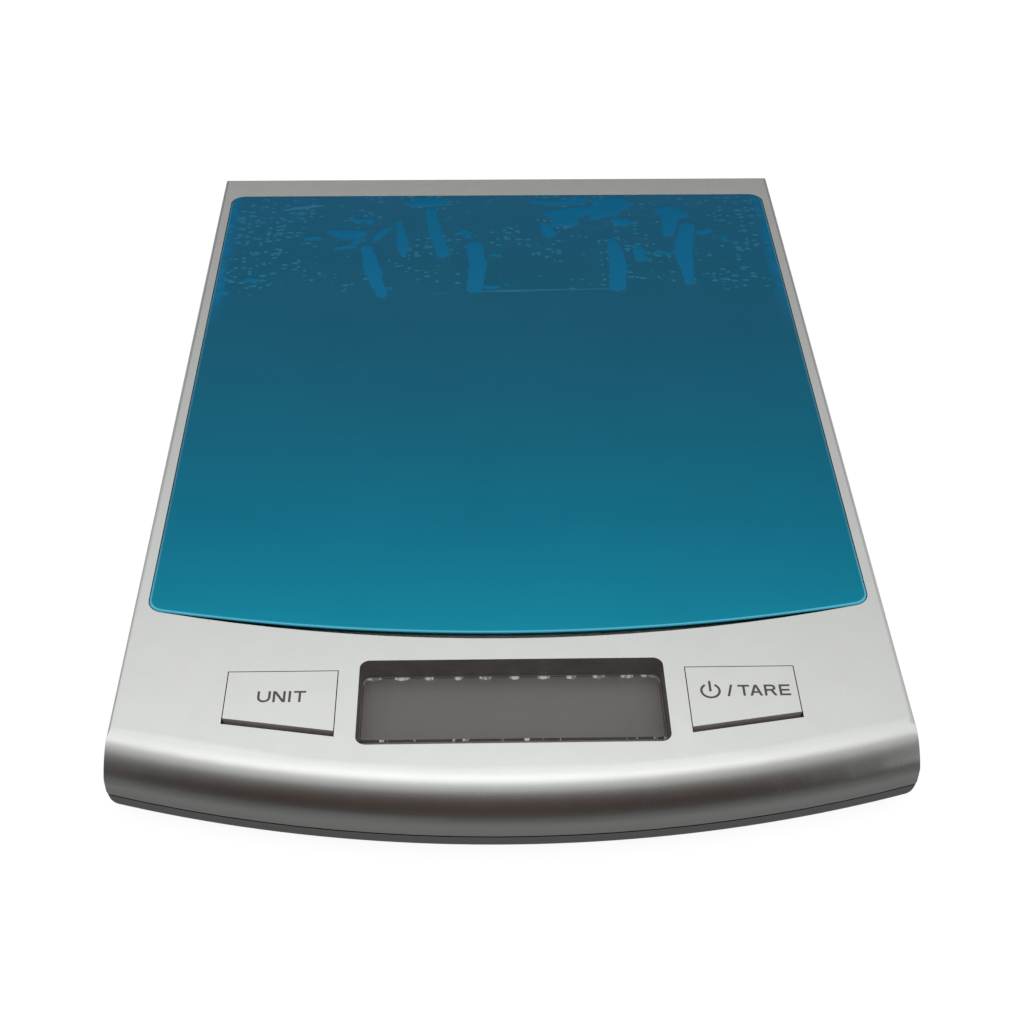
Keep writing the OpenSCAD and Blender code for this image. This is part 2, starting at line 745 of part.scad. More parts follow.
module base_pan() {
    rib_y0 = box_rear_y + rib_front;
    rib_y1 = screw_ys[2] - rib_rear;
    cross_half = foot_xs[1] - rib_side;
    color(base_grey) difference() {
        union() {
            difference() {
                base_form();
                base_cavity();
            }
            lip();
            for (x = screw_xs, y = screw_ys)
                translate([x, y, floor_top - eps]) cylinder(r = well_r + post_wall, h = post_top - floor_top + eps);
            for (x = foot_xs, y = foot_ys)
                translate([x, y, floor_top - eps]) cylinder(r = foot_r + foot_pad, h = foot_pocket + eps);
            // seat of the load cell, and ribs beside and behind it
            translate([-cell_w / 2 - seat_margin, cell_y - seat_margin, floor_top - eps])
                cube([cell_w + 2 * seat_margin, spacer_l + seat_margin, seat_h + eps]);
            for (s = [-1, 1])
                translate([s * rib_x - rib_t / 2, rib_y0, floor_top - eps]) cube([rib_t, rib_y1 - rib_y0, rib_h + eps]);
            for (y = [cell_end + rib_side, rib_y1])
                translate([-cross_half, y, floor_top - eps]) cube([2 * cross_half, rib_t, rib_h + eps]);
            battery_box();
            // cheeks that carry the ends of the door's hinge pins
            for (s = [-1, 1])
                translate([coin_x + s * (door_w / 2 + door_gap + door_pin_l / 2) - door_pin_l / 2 - 0.2,
                    door_axis_y - 2, floor_top - eps]) cube([door_pin_l + 0.4, 4, 1 + eps]);
        }
        for (x = screw_xs, y = screw_ys) {
            translate([x, y, foot_h - 1]) cylinder(r = well_r, h = well_h + 1);
            translate([x, y, foot_h]) cylinder(r = screw_hole_r, h = top_z);
        }
        for (x = foot_xs, y = foot_ys)
            translate([x, y, foot_h - 1]) cylinder(r = foot_r + 0.1, h = foot_pocket + 1);
        for (y = fixed_screws) {
            translate([0, y, foot_h - 1]) cylinder(r = cell_head_r + 0.4, h = seat_top - seat_skin - foot_h + 1);
            translate([0, y, foot_h]) cylinder(r = cell_screw_r + 0.2, h = top_z);
        }
        // door opening with its pin sockets, and the slots of the two contacts
        translate([coin_x - door_w / 2 - door_gap, door_axis_y - door_t / 2 - door_gap, foot_h - 1])
            cube([door_w + 2 * door_gap, door_free_y + door_gap - door_axis_y + door_t / 2 + door_gap, floor_t + 1 + eps]);
        translate([coin_x - latch_w / 2 - door_gap, door_free_y - 1, foot_h - 1])
            cube([latch_w + 2 * door_gap, latch_reach + latch_clear + 1, floor_t + 1 + eps]);
        rod_x(door_pin_r + 0.05, coin_x - door_w / 2 - door_gap - door_pin_l,
            coin_x + door_w / 2 + door_gap + door_pin_l, door_axis_y, door_axis_z);
        translate([coin_x - contact_w / 2 - slot_gap, negative_y - slot_gap, ceiling_z - 1])
            cube([contact_w + 2 * slot_gap, contact_t + 2 * slot_gap, box_t + 2]);
        translate([positive_x - slot_gap, coin_cy - contact_w / 2 - slot_gap, ceiling_z - 1])
            cube([contact_t + 2 * slot_gap, contact_w + 2 * slot_gap, box_t + 2]);
    }
}

module rubber_feet() {
    color([0.12, 0.12, 0.12])
        for (x = foot_xs, y = foot_ys) translate([x, y, 0]) difference() {
            cylinder(r = foot_r, h = foot_h + foot_pocket);
            translate([0, 0, -1]) cylinder(r = foot_r - 2.5, h = 1.3);
        }
}

// A pan-head screw that points up, with its head below z = 0 and a cross recess
module screw(r, l, hr, hh) {
    slot = hr * 0.32;
    difference() {
        union() {
            translate([0, 0, -hh]) cylinder(r = hr, h = hh);
            translate([0, 0, -eps]) cylinder(r = r, h = l + eps);
        }
        for (a = [0, 90]) rotate(a)
            translate([-hr * 0.6, -slot / 2, -hh - 1]) cube([hr * 1.2, slot, 1 + hh * 0.55]);
    }
}

module housing_screws() {
    color(steel) for (x = screw_xs, y = screw_ys)
        translate([x, y, well_top]) screw(screw_r, screw_l, head_r, head_h);
}

module platform_plate() {
    color(steel) difference() {
        translate([0, 0, plate_z - rim_h]) linear_extrude(plate_t + rim_h) platform_plan(0);
        translate([0, 0, plate_z - rim_h - 1]) linear_extrude(rim_h + 1) platform_plan(plate_t);
    }
}

module platform_film() {
    color(film_blue) translate([0, 0, plate_top]) linear_extrude(film_t) platform_plan(0);
}

tray_inset = plate_t + 0.3;
module platform_tape() {
    l = platform_rear - platform_front - 2 * tape_end;
    color([0.9, 0.9, 0.86]) for (x = [-1.5, -0.5, 0.5, 1.5])
        translate([x * platform_half * 0.52 - tape_w / 2, platform_mid - l / 2, tray_top])
            cube([tape_w, l, tape_t]);
}

module platform_tray() {
    color([0.16, 0.16, 0.17]) difference() {
        union() {
            translate([0, 0, tray_z]) linear_extrude(tray_t) platform_plan(tray_inset);
            translate([0, 0, boss_z]) linear_extrude(tray_z - boss_z + eps) boss_plan(0);
        }
        for (y = free_screws) {
            translate([0, y, boss_z - 1]) cylinder(r = cell_screw_r + 0.2, h = tray_top);
            translate([0, y, tray_top - cell_head_h - 0.2]) cylinder(r = cell_head_r + 0.3, h = 3);
        }
    }
}

module overload_stops() {
    x = platform_half - stop_inset;
    color([0.25, 0.25, 0.26]) for (s = [-1, 1], y = [platform_front + 2 * stop_inset, platform_rear - stop_inset])
        translate([s * x, y, deck_top]) cylinder(r = stop_r, h = stop_h);
}

module load_cell() {
    z_mid = cell_z + cell_h / 2;
    color([0.78, 0.79, 0.80]) difference() {
        translate([-cell_w / 2, cell_y, cell_z]) cube([cell_w, cell_l, cell_h]);
        for (s = [-1, 1])
            rod_x(beam_bore_r, -cell_w, cell_w, platform_mid + s * beam_bore_pitch / 2, z_mid);
        translate([-cell_w, platform_mid - beam_bore_pitch / 2, z_mid - 0.8])
            cube([2 * cell_w, beam_bore_pitch, 1.6]);
        for (y = concat(fixed_screws, free_screws))
            translate([0, y, cell_z - 1]) cylinder(r = cell_screw_r + screw_gap, h = cell_h + 2);
    }
}

module gauge_coating() {
    l = 2 * beam_half - 0.8;
    color([0.93, 0.93, 0.90]) {
        for (z = [cell_z - coating_t, cell_top])
            translate([-cell_w / 2 + 1, platform_mid - l / 2, z]) cube([cell_w - 2, l, coating_t]);
        // glue over the soldered ends of the leads, on the side of the cell
        translate([cell_w / 2, cell_lead_y(0) - 1, cell_z + 1.6]) cube([glue_t, 3 * lead_pitch + 2, 2.8]);
    }
}

module spacer(y, z, t, screws) {
    color([0.62, 0.63, 0.64]) difference() {
        translate([-cell_w / 2, y, z]) cube([cell_w, spacer_used, t]);
        for (sy = screws) translate([0, sy, z - 1]) cylinder(r = cell_screw_r + 0.2, h = t + 2);
    }
}
module lower_spacer() spacer(cell_y, seat_top, lower_spacer_t, fixed_screws);
module upper_spacer() spacer(cell_end - spacer_used, cell_top, upper_spacer_t, free_screws);

module cell_base_screws() {
    head_z = seat_top - seat_skin;
    color(steel) for (y = fixed_screws)
        translate([0, y, head_z]) screw(cell_screw_r, cell_z + cell_screw_in - head_z, cell_head_r, cell_head_h);
}

module cell_platform_screws() {
    head_z = tray_top - cell_head_h - 0.2;
    color(steel) for (y = free_screws)
        translate([0, y, head_z]) mirror([0, 0, 1])
            screw(cell_screw_r, head_z - cell_top + cell_screw_in, cell_head_r, cell_head_h);
}

module display_bezel() {
    roof_z = display_z + window_film_t + 0.02;
    color(dark_plastic) translate([0, window_cy, 0]) difference() {
        union() {
            translate([0, 0, board_top]) linear_extrude(roof_z + bezel_t - board_top)
                square([frame_w, frame_l], center = true);
            translate([0, 0, roof_z]) linear_extrude(skin_z - roof_z)
                rounded_rect(bezel_w + 2 * bezel_t, bezel_l + 2 * bezel_t, window_r - bezel_ledge + bezel_t);
        }
        translate([0, 0, board_top - 1]) linear_extrude(skin_z) rounded_rect(bezel_w, bezel_l, window_r - bezel_ledge);
        translate([0, 0, board_top - 1]) linear_extrude(roof_z - board_top + 1)
            square([glass_w + 2 * glass_gap, glass_l + 2 * glass_gap], center = true);
    }
}

module display_glass() {
    color([0.45, 0.47, 0.45]) translate([0, window_cy, glass_z]) {
        translate([-glass_w / 2, -lower_glass_l / 2, 0]) cube([glass_w, lower_glass_l, glass_t / 2 + eps]);
        translate([-glass_w / 2, -glass_l / 2, glass_t / 2]) cube([glass_w, glass_l, glass_t / 2]);
    }
}

module front_polariser() {
    color([0.40, 0.39, 0.37]) translate([0, window_cy, display_z - polariser_t]) linear_extrude(polariser_t)
        square([bezel_w + 2, bezel_l + 1], center = true);
}

module rear_polariser() {
    color([0.62, 0.63, 0.60]) translate([0, window_cy, glass_z - polariser_t]) linear_extrude(polariser_t)
        square([bezel_w + 2, lower_glass_l - 2], center = true);
}

module display_film() {
    color([0.7, 0.72, 0.72, 0.4]) translate([0, window_cy, display_z]) linear_extrude(window_film_t)
        rounded_rect(bezel_w - 0.4, bezel_l - 0.5, window_r - bezel_ledge);
}

module zebra_strips() {
    color([0.75, 0.55, 0.60]) for (s = [-1, 1])
        translate([-bezel_w / 2, window_cy + s * zebra_y - zebra_w / 2, board_top])
            cube([bezel_w, zebra_w, zebra_h]);
}

module main_board() {
    color([0.10, 0.38, 0.22]) difference() {
        translate([-board_w / 2, board_front_y, board_z]) cube([board_w, board_rear_y - board_front_y, board_t]);
        for (x = board_screw_xs, y = board_screw_ys)
            translate([x, y, board_z - 1]) cylinder(r = board_screw_r + 0.15, h = board_t + 2);
    }
}

module board_screws() {
    color(steel) for (x = board_screw_xs, y = board_screw_ys)
        translate([x, y, board_z]) screw(board_screw_r, board_screw_l, board_head_r, board_head_h);
}

// The controller's dome of resin under the board
module controller_blob() {
    r = (pow(blob_r, 2) + pow(blob_h, 2)) / (2 * blob_h);
    color([0.08, 0.08, 0.09]) translate([0, board_mid_y, board_z]) intersection() {
        translate([0, 0, r - blob_h]) sphere(r = r, $fn = 96);
        translate([0, 0, -blob_h]) cylinder(r = blob_r + 1, h = blob_h);
    }
}

module crystal() {
    color([0.8, 0.8, 0.8])
        rod_x(crystal_r, -crystal_x - crystal_l, -crystal_x, board_mid_y, board_z - crystal_r);
}

// A row of small parts on the underside of the board, with a count on each side of the controller
module chip_parts(size, left, right, y) {
    xs = concat(
        [for (i = [0 : left - 1]) -chips_left - i * chip_pitch],
        [for (i = [0 : right - 1]) chips_right + i * chip_pitch]);
    for (x = xs) translate([x, y, board_z - size.z / 2]) cube(size, center = true);
}
module capacitors() color([0.72, 0.60, 0.42]) chip_parts(capacitor_size, 3, 3, board_mid_y + chip_row);
module resistors() color([0.15, 0.15, 0.16]) chip_parts(resistor_size, 4, 5, board_mid_y - chip_row);

// A tactile switch: body on the board, plunger in a socket on top
module switch_body() {
    color([0.15, 0.15, 0.16]) difference() {
        union() {
            translate([key_mid - switch_w / 2, switch_y - switch_w / 2, board_top]) cube([switch_w, switch_w, switch_h - 0.3]);
            translate([key_mid - switch_w / 2 + 0.3, switch_y - switch_w / 2 + 0.3, board_top])
                cube([switch_w - 0.6, switch_w - 0.6, switch_h]);
            for (sx = [-1, 1], sy = [-1, 1])
                translate([key_mid + sx * (switch_w / 2 + 0.35) - 0.4, switch_y + sy * switch_w * 0.36 - 0.35, board_top])
                    cube([0.8, 0.7, 1.4]);
        }
        translate([key_mid, switch_y, switch_top - plunger_in - 0.35]) cylinder(r = plunger_r + 0.1, h = 2);
    }
}
module switch_plunger() {
    color([0.65, 0.30, 0.20]) translate([key_mid, switch_y, switch_top - plunger_in])
        cylinder(r = plunger_r, h = plunger_h + plunger_in);
}
module unit_switch() mirror([1, 0, 0]) switch_body();
module tare_switch() switch_body();
module unit_plunger() mirror([1, 0, 0]) switch_plunger();
module tare_plunger() switch_plunger();

// A key that rocks on two pairs of pins behind it, with a post over its switch
module key() {
    skirt_z = top_z - key_skirt_h;
    pin_half = arm_w / 2 + ear_gap + ear_t;
    arm_h = pivot_r;
    color(silver) union() {
        translate([0, 0, top_z - key_t]) linear_extrude(key_t) polygon(key_points(key_gap, key_front_gap));
        translate([0, 0, skirt_z]) linear_extrude(key_skirt_h - key_t + eps) difference() {
            polygon(key_points(key_gap, key_front_gap));
            polygon(key_points(key_gap + key_skirt_t, key_front_gap + key_skirt_t));
        }
        translate([key_mid, switch_y, plunger_top + post_gap])
            cylinder(r = post_r, h = top_z - key_t + eps - plunger_top - post_gap);
        for (arm = [-1, 1]) {
            x = key_mid + arm * arm_x;
            translate([x - arm_w / 2, key_rear_y - key_gap - key_skirt_t, pivot_z - arm_h])
                cube([arm_w, pivot_y - key_rear_y + key_gap + key_skirt_t, 2 * arm_h]);
            rod_x(pivot_r, x - pin_half, x + pin_half, pivot_y, pivot_z);
        }
    }
}
module unit_button() mirror([1, 0, 0]) key();
module tare_button() key();

module battery_door() {
    y0 = door_axis_y;
    x0 = coin_x - door_w / 2;
    color(base_grey) difference() {
        union() {
            translate([x0, y0, foot_h]) cube([door_w, door_free_y - y0, door_t]);
            rod_x(door_t / 2, x0, x0 + door_w, y0, door_axis_z);
            rod_x(door_pin_r, x0 - door_gap - door_pin_l + 0.1, x0 + door_w + door_gap + door_pin_l - 0.1, y0, door_axis_z);
            // snap latch: a leaf that rises, bends over and comes down outside
            translate([coin_x - latch_w / 2, door_free_y - eps, foot_h]) cube([latch_w, latch_t + eps, door_t + latch_h]);
            translate([coin_x - latch_w / 2, door_free_y, foot_h + door_t + latch_h - latch_t])
                cube([latch_w, latch_reach, latch_t]);
            translate([coin_x - latch_w / 2, door_free_y + latch_reach - latch_t, foot_h])
                cube([latch_w, latch_t, door_t + latch_h]);
            along_x(coin_x - latch_w / 2, coin_x + latch_w / 2)
                polygon([
                    [door_free_y + latch_reach - eps, floor_top + 0.1],
                    [door_free_y + latch_reach + latch_nub, floor_top + 0.1],
                    [door_free_y + latch_reach - eps, floor_top + 1.2]
                ]);
        }
        // shallow grip grooves in the outer face
        for (i = [0 : 3])
            translate([coin_x - 5, door_free_y - 3 - i * 1.6, foot_h - 1]) cube([10, 0.8, 1.4]);
    }
}

module coin_cell() {
    color([0.80, 0.80, 0.81]) translate([coin_x, coin_cy, coin_z]) {
        cylinder(r = coin_r, h = coin_h - 0.4);
        cylinder(r = coin_r - 1.2, h = coin_h);
    }
}

// Positive contact: a strip up the coin cell's side and through the ceiling
module positive_contact() {
    low = coin_z + 0.4;
    color([0.85, 0.78, 0.55]) translate([positive_x, coin_cy - contact_w / 2, low])
        cube([contact_t, contact_w, ceiling_top + tab_h - low]);
}

// Negative contact: a foot on the ceiling, a sprung finger down to the coin cell and a solder tab
module negative_contact() {
    y0 = negative_y;
    finger_l = coin_r;
    drop = coin_room - contact_t - 0.1;
    color([0.85, 0.78, 0.55]) union() {
        translate([coin_x - contact_w / 2, y0, ceiling_z - contact_t]) cube([contact_w, 3, contact_t]);
        along_x(coin_x - contact_w / 2, coin_x + contact_w / 2)
            polygon([
                [y0 + 3 - eps, ceiling_z], [y0 + 3 - eps, ceiling_z - contact_t],
                [y0 + finger_l, ceiling_z - contact_t - drop], [y0 + finger_l + 1.5, ceiling_z - contact_t - drop + 0.4],
                [y0 + finger_l + 1.5, ceiling_z - drop + 0.4], [y0 + finger_l, ceiling_z - drop]
            ]);
        translate([coin_x - contact_w / 2, y0, ceiling_z - contact_t])
            cube([contact_w, contact_t, box_t + contact_t + tab_h]);
    }
}

// A smooth curve through the points of a route, and a round tube along it
function bend(a, b, c, d, t) =
    0.5 * (2 * b + (c - a) * t + (2 * a - 5 * b + 4 * c - d) * t * t + (3 * b - a - 3 * c + d) * t * t * t);
function smooth(p, n) =
    let (last = len(p) - 1)
    concat(
        [for (i = [0 : last - 1]) for (k = [0 : n - 1])
            bend(p[max(i - 1, 0)], p[i], p[i + 1], p[min(i + 2, last)], k / n)],
        [p[last]]);
module tube(route, r) {
    sides = 8;
    steps = 3;
    p = smooth(route, steps);
    n = len(p);
    ref = unit([1, 1, 1]);
    rings = [for (i = [0 : n - 1])
        let (
            t = unit(p[min(i + 1, n - 1)] - p[max(i - 1, 0)]),
            u = unit(cross(t, ref)),
            v = cross(t, u)
        )
        for (k = [0 : sides - 1]) p[i] + r * (cos(360 * k / sides) * u + sin(360 * k / sides) * v)];
    faces = concat(
        [[for (k = [0 : sides - 1]) k]],
        [for (i = [0 : n - 2]) for (k = [0 : sides - 1])
            let (a = i * sides + k, b = i * sides + (k + 1) % sides)
            [a, a + sides, b + sides, b]],
        [[for (k = [sides - 1 : -1 : 0]) (n - 1) * sides + k]]);
    polyhedron(points = rings, faces = faces, convexity = 4);
}

// Leads from the load cell: out of the glue, down to the floor, forward and up onto the board
lead_lift = 0.3; // height of a free lead above what it lies on
lead_solder = 0.05; // height of a lead above the board, or clear of its tab, at its end
lead_run = 40; // stretch of a load cell lead from the glue to where it lies straight on the floor
function cell_lead_y(i) = cell_y + 14.5 + i * lead_pitch;
module cell_lead(i) {
    x0 = cell_w / 2 + glue_t + lead_solder;
    x = x0 + 2.2 + i * lead_pitch;
    y = cell_lead_y(i);
    z0 = cell_z + 3;
    low = floor_top + lead_r + lead_lift;
    high = board_top + lead_r + lead_solder;
    end_y = board_rear_y - 1;
    tube([
        [x0, y, z0],
        [x - 1, y, z0],
        [x, y - 2, z0 - 1],
        [x, y - 6, low + 1],
        [x, y - 12, low],
        [x, y - lead_run, low],
        [x, end_y + 14, low],
        [x, end_y + 7, high - 0.6],
        [x, end_y + 4, high],
        [x, end_y, high]
    ], lead_r);
}
module cell_lead_red() color([0.75, 0.10, 0.08]) cell_lead(0);
module cell_lead_black() color([0.08, 0.08, 0.08]) cell_lead(1);
module cell_lead_green() color([0.10, 0.50, 0.20]) cell_lead(2);
module cell_lead_white() color([0.90, 0.90, 0.88]) cell_lead(3);

// Leads from the battery contacts to the board
module battery_lead_red() {
    x = positive_x - lead_r - lead_solder;
    high = board_top + lead_r + lead_solder;
    end_y = board_rear_y - 1;
    z = ceiling_top + lead_r + lead_lift;
    color([0.75, 0.10, 0.08]) tube([
        [x, coin_cy + 1, z],
        [x, coin_cy - 2, z],
        [x - 1, coin_cy - 8, z],
        [x - 3, box_front_y + 3, z],
        [x - 4, box_front_y - 2, z],
        [x - 5, end_y + 6, high + 0.6],
        [x - 5, end_y + 3, high],
        [x - 5, end_y, high]
    ], lead_r);
}
module battery_lead_black() {
    x = coin_x;
    y = negative_y - lead_r - lead_solder;
    high = board_top + lead_r + lead_solder;
    end_y = board_rear_y - 1;
    z = ceiling_top + lead_r + lead_lift;
    color([0.08, 0.08, 0.08]) tube([
        [x + 1, y, z],
        [x - 2, y, z],
        [x - 4, y - 1.5, z],
        [x - 5, box_front_y - 2, z],
        [x - 6, end_y + 6, high + 0.6],
        [x - 6, end_y + 3, high],
        [x - 6, end_y, high]
    ], lead_r);
}

top_cover();
base_pan();
rubber_feet();
housing_screws();
platform_plate();
platform_film();
platform_tape();
platform_tray();
overload_stops();
load_cell();
gauge_coating();
lower_spacer();
upper_spacer();
cell_base_screws();
cell_platform_screws();
display_bezel();
display_glass();
front_polariser();
rear_polariser();
display_film();
zebra_strips();
main_board();
board_screws();
controller_blob();
crystal();
capacitors();
resistors();
unit_switch();
tare_switch();
unit_plunger();
tare_plunger();
unit_button();
tare_button();
battery_door();
coin_cell();
positive_contact();
negative_contact();
battery_lead_red();
battery_lead_black();
cell_lead_red();
cell_lead_black();
cell_lead_green();
cell_lead_white();
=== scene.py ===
"""The looks of a digital kitchen scale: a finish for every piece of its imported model."""

import json
import math

import bmesh
import bpy
import numpy as np
from mathutils import Matrix, Vector

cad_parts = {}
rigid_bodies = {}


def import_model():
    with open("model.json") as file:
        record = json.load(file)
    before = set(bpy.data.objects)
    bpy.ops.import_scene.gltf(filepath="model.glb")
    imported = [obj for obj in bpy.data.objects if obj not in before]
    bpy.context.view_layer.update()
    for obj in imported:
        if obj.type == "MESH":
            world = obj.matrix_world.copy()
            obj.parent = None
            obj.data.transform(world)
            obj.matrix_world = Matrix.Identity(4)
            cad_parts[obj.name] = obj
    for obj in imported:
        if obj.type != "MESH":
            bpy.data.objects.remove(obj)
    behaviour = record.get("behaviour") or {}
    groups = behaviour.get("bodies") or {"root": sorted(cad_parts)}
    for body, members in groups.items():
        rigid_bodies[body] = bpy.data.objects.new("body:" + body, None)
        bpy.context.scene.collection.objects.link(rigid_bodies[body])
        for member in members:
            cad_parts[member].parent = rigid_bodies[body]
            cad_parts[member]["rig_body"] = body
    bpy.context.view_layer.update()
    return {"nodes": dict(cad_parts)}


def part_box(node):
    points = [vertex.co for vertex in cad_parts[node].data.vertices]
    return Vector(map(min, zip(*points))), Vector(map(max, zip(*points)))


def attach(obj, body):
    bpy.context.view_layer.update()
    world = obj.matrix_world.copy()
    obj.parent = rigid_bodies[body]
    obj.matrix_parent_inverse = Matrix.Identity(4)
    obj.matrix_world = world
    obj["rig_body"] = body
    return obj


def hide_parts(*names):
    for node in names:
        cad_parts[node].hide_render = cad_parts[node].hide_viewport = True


MM = 0.001
PACKED = "packed_"

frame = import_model()
NODES = frame["nodes"]
SCENE = bpy.context.scene

# Camera: place in millimetres, angles in degrees, focal length in pixels of the photograph
PHOTO_PIXELS = 1024
FOCAL_PIXELS = 1645
CAMERA_PLACE = (-6.78, -317.52, 262.26)
CAMERA_DOWN = 40.942
CAMERA_YAW = 1.598
CAMERA_ROLL = 0.527
SENSOR_MM = 36

# World light: (degrees from straight behind the object, colour), before the strength
DOME_LEVELS = [
    (0, (0.08,) * 3), (15, (0.12,) * 3), (30, (0.215,) * 3), (41, (0.51,) * 3), (49, (0.85,) * 3),
    (60, (0.93,) * 3), (70, (0.96,) * 3), (81, (1.17,) * 3), (90, (1.1,) * 3), (101, (0.69,) * 3),
    (113, (0.36,) * 3), (126, (0.145, 0.14, 0.137)), (139, (0.077, 0.058, 0.053)),
    (151, (0.056, 0.041, 0.037)), (180, (0.050, 0.036, 0.034)),
]
DOME_STRENGTH = 1.6
# How it falls to the sides, by the direction's x: the share of x squared, that of x, and the least level
SIDE_FALL = 2.2
SIDE_LEAN = 0.18
SIDE_LEAST = 0.62
# The least light far to either side, by the size of the direction's shifted x
WING_SHIFT = 0.05
WING_LEVELS = [(0.54, (0, 0, 0)), (0.66, (0.04,) * 3), (0.8, (0.5,) * 3), (1.0, (0.7,) * 3)]
# The fill: its strength, and its softness and tilt in degrees
FILL_STRENGTH = 1.8
FILL_SOFT = 70
FILL_TILT = 50

# The floor: its size in metres, its colour, the glow that makes it white to the camera, and what
# glossy paint shows of it, as (millimetres ahead of the bowed front, level)
FLOOR_SIZE = 8
FLOOR_DIM = 0.12
FLOOR_GLOW = 0.9
# The dip just ahead of the front is painted contact shadow, shown only in glossy paint, since a glow casts
# none
FLOOR_LEVELS = [(-20, 0.6), (-6, 0.24), (2, 0.18), (7, 0.24), (12, 0.245), (21, 0.20), (66, 0.124),
                (150, 0.08), (400, 0.06)]

# The cover: its length, the radius of its bowed front, and that of the rolled edge
COVER_LENGTH = 236.2
COVER_BOW = 280.0
COVER_NOSE = 8.8
COVER_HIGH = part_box("top_cover")[1] / MM
DECK_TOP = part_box("overload_stops")[0].z / MM
# Radii of the cover's edges, and the places that tell them apart
EDGE_RECESS = 0.16
EDGE_WINDOW = 0.18
EDGE_FINE = 0.18
EDGE_KEY = 0.08
RECESS_FRONT = -78.0
WINDOW_HALF = 33.0
SIDE_EDGE = 2
REAR_EDGE = 8
# How deep below its outer faces a face of the cover still counts as painted
SKIN_TOP = 0.1
SKIN_NOSE = 1
SKIN_SIDE = 1.5
SKIN_REAR = 1.8

# Radii of the base pan's and the battery door's edges, and the least turn of a pan's edge in degrees
EDGE_PAN = 0.2
EDGE_DOOR = 0.15
PAN_TURN = 15

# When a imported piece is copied: the distance that welds points and the turn that joins flat faces
WELD = 0.002
FLAT_TURN = 0.3

# Platform outline seen from above, its plate's thickness and edge, and its grid
PLATE_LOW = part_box("platform_plate")[0] / MM
PLATE_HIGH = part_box("platform_plate")[1] / MM
PLATE_CORNER = 3.6
PLATE_BOW = 369.0
PLATE_T = 0.8
PLATE_STEP = 4.0
PLATE_ROWS = 20
EDGE_ROUND = 0.42
# The turn in degrees from which an edge of the plate or the film stays sharp
PLATE_SHARP = 40
FILM_SHARP = 50

# The blue film: its thickness, the gap under it, and how far it goes down the plate's side
FILM_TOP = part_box("platform_film")[1].z / MM
FILM_T = 0.08
FILM_GAP = 0.01
FILM_SKIRT = 1.1
# How far it reaches over the gap beside the plate, and where on the way to the front that ends
FILM_OVER = 0.26
OVER_FRONT = 62
OVER_SPAN = 5
# Its grid: the step across, and rows that are coarse for a share of its depth, then fine
FILM_STEP = 0.8
ROWS_SHARE = 0.68
ROWS_COARSE = 34
ROWS_FINE = 76
# Its cut edge, with a painted highlight that is stronger nearer the viewer: depths below the top, its
# strength towards the front, how much of its colour shows, how much of the metal's gloss is left, and its
# colours far from the viewer and near
RIM_TOP = 0.02
RIM_LOW = 0.42
RIM_LEAST = 0.35
RIM_FRONT = 25
RIM_SPAN = 40
RIM_CLEAR = 0.9
RIM_METAL = 0.15
RIM_HIGHLIGHT_FAR = (0.085, 0.270, 0.370)
RIM_HIGHLIGHT_NEAR = (0.060, 0.400, 0.520)
# Its colour from the front edge to the rear one, as stops of (y, colour), with painted light: paler and
# greener towards the front, for the brighter light that the steel reflects there; then its tint, and its
# clouds
FILM_LIT_TONES = [
    (-71, (0.0102, 0.222, 0.322)), (-55, (0.0105, 0.197, 0.295)), (-37, (0.0110, 0.175, 0.267)),
    (-4, (0.0150, 0.155, 0.244)), (38, (0.0230, 0.145, 0.234)), (72, (0.0280, 0.152, 0.247)),
    (104, (0.0360, 0.165, 0.283)),
]
FILM_TINT = (0.3, 0.6, 0.9)
FILM_CLOUD = 22.0
# The brushed grain that shows through it, as a size and a squeeze along each axis
BRUSH = 0.3
BRUSHED = (0.05, 1, 1)
# Specks under it: the y where they begin and are full, the size of their clouds, the share of cells
# that hold one, and the share added on the left and on the right as (from x, full at x, share)
SPECKS_FROM = 53.0
SPECKS_FULL = 62.0
SPECK_CLOUD = 13.0
SPECK_SHARE = (0.05, 0.42)
SPECKS_LEFT = (-50.0, -70.0, 0.16)
SPECKS_RIGHT = (12.0, 30.0, 0.06)
SPECK_COLOUR = (0.052, 0.270, 0.430)
SPECK_CLEAR = 0.7
# Their two sets of cells: (size, largest radius in cells, squeeze), and how fast a radius grows
SPECK_CELLS = [(1.9, 0.30, (1, 1, 1)), (1.4, 0.36, (0.5, 1.1, 1))]
SPECK_GROWTH = 5
# The strip at each side where the glue shows: the size of x and the y where it begins and is full
STRIP_X = (73.8, 75.8)
STRIP_Y = (40.0, 55.0)
# Glue marks: their colour, their ragged edge's size and reach, their height and slope, and the
# distance from an edge at which a mark's or a crease's field ends
GLUE_COLOUR = (0.0200, 0.205, 0.400)
GLUE_RAGGED = 1.5
GLUE_REACH = 0.5
GLUE_RISE = 0.02
GLUE_SLOPE = 0.8
FIELD_END = 4
# Creases: the film's colour there as a share of its own, and how much of that shows
CREASE_SHADE = (2.1, 1.9, 1.8)
CREASE_CLEAR = 0.6

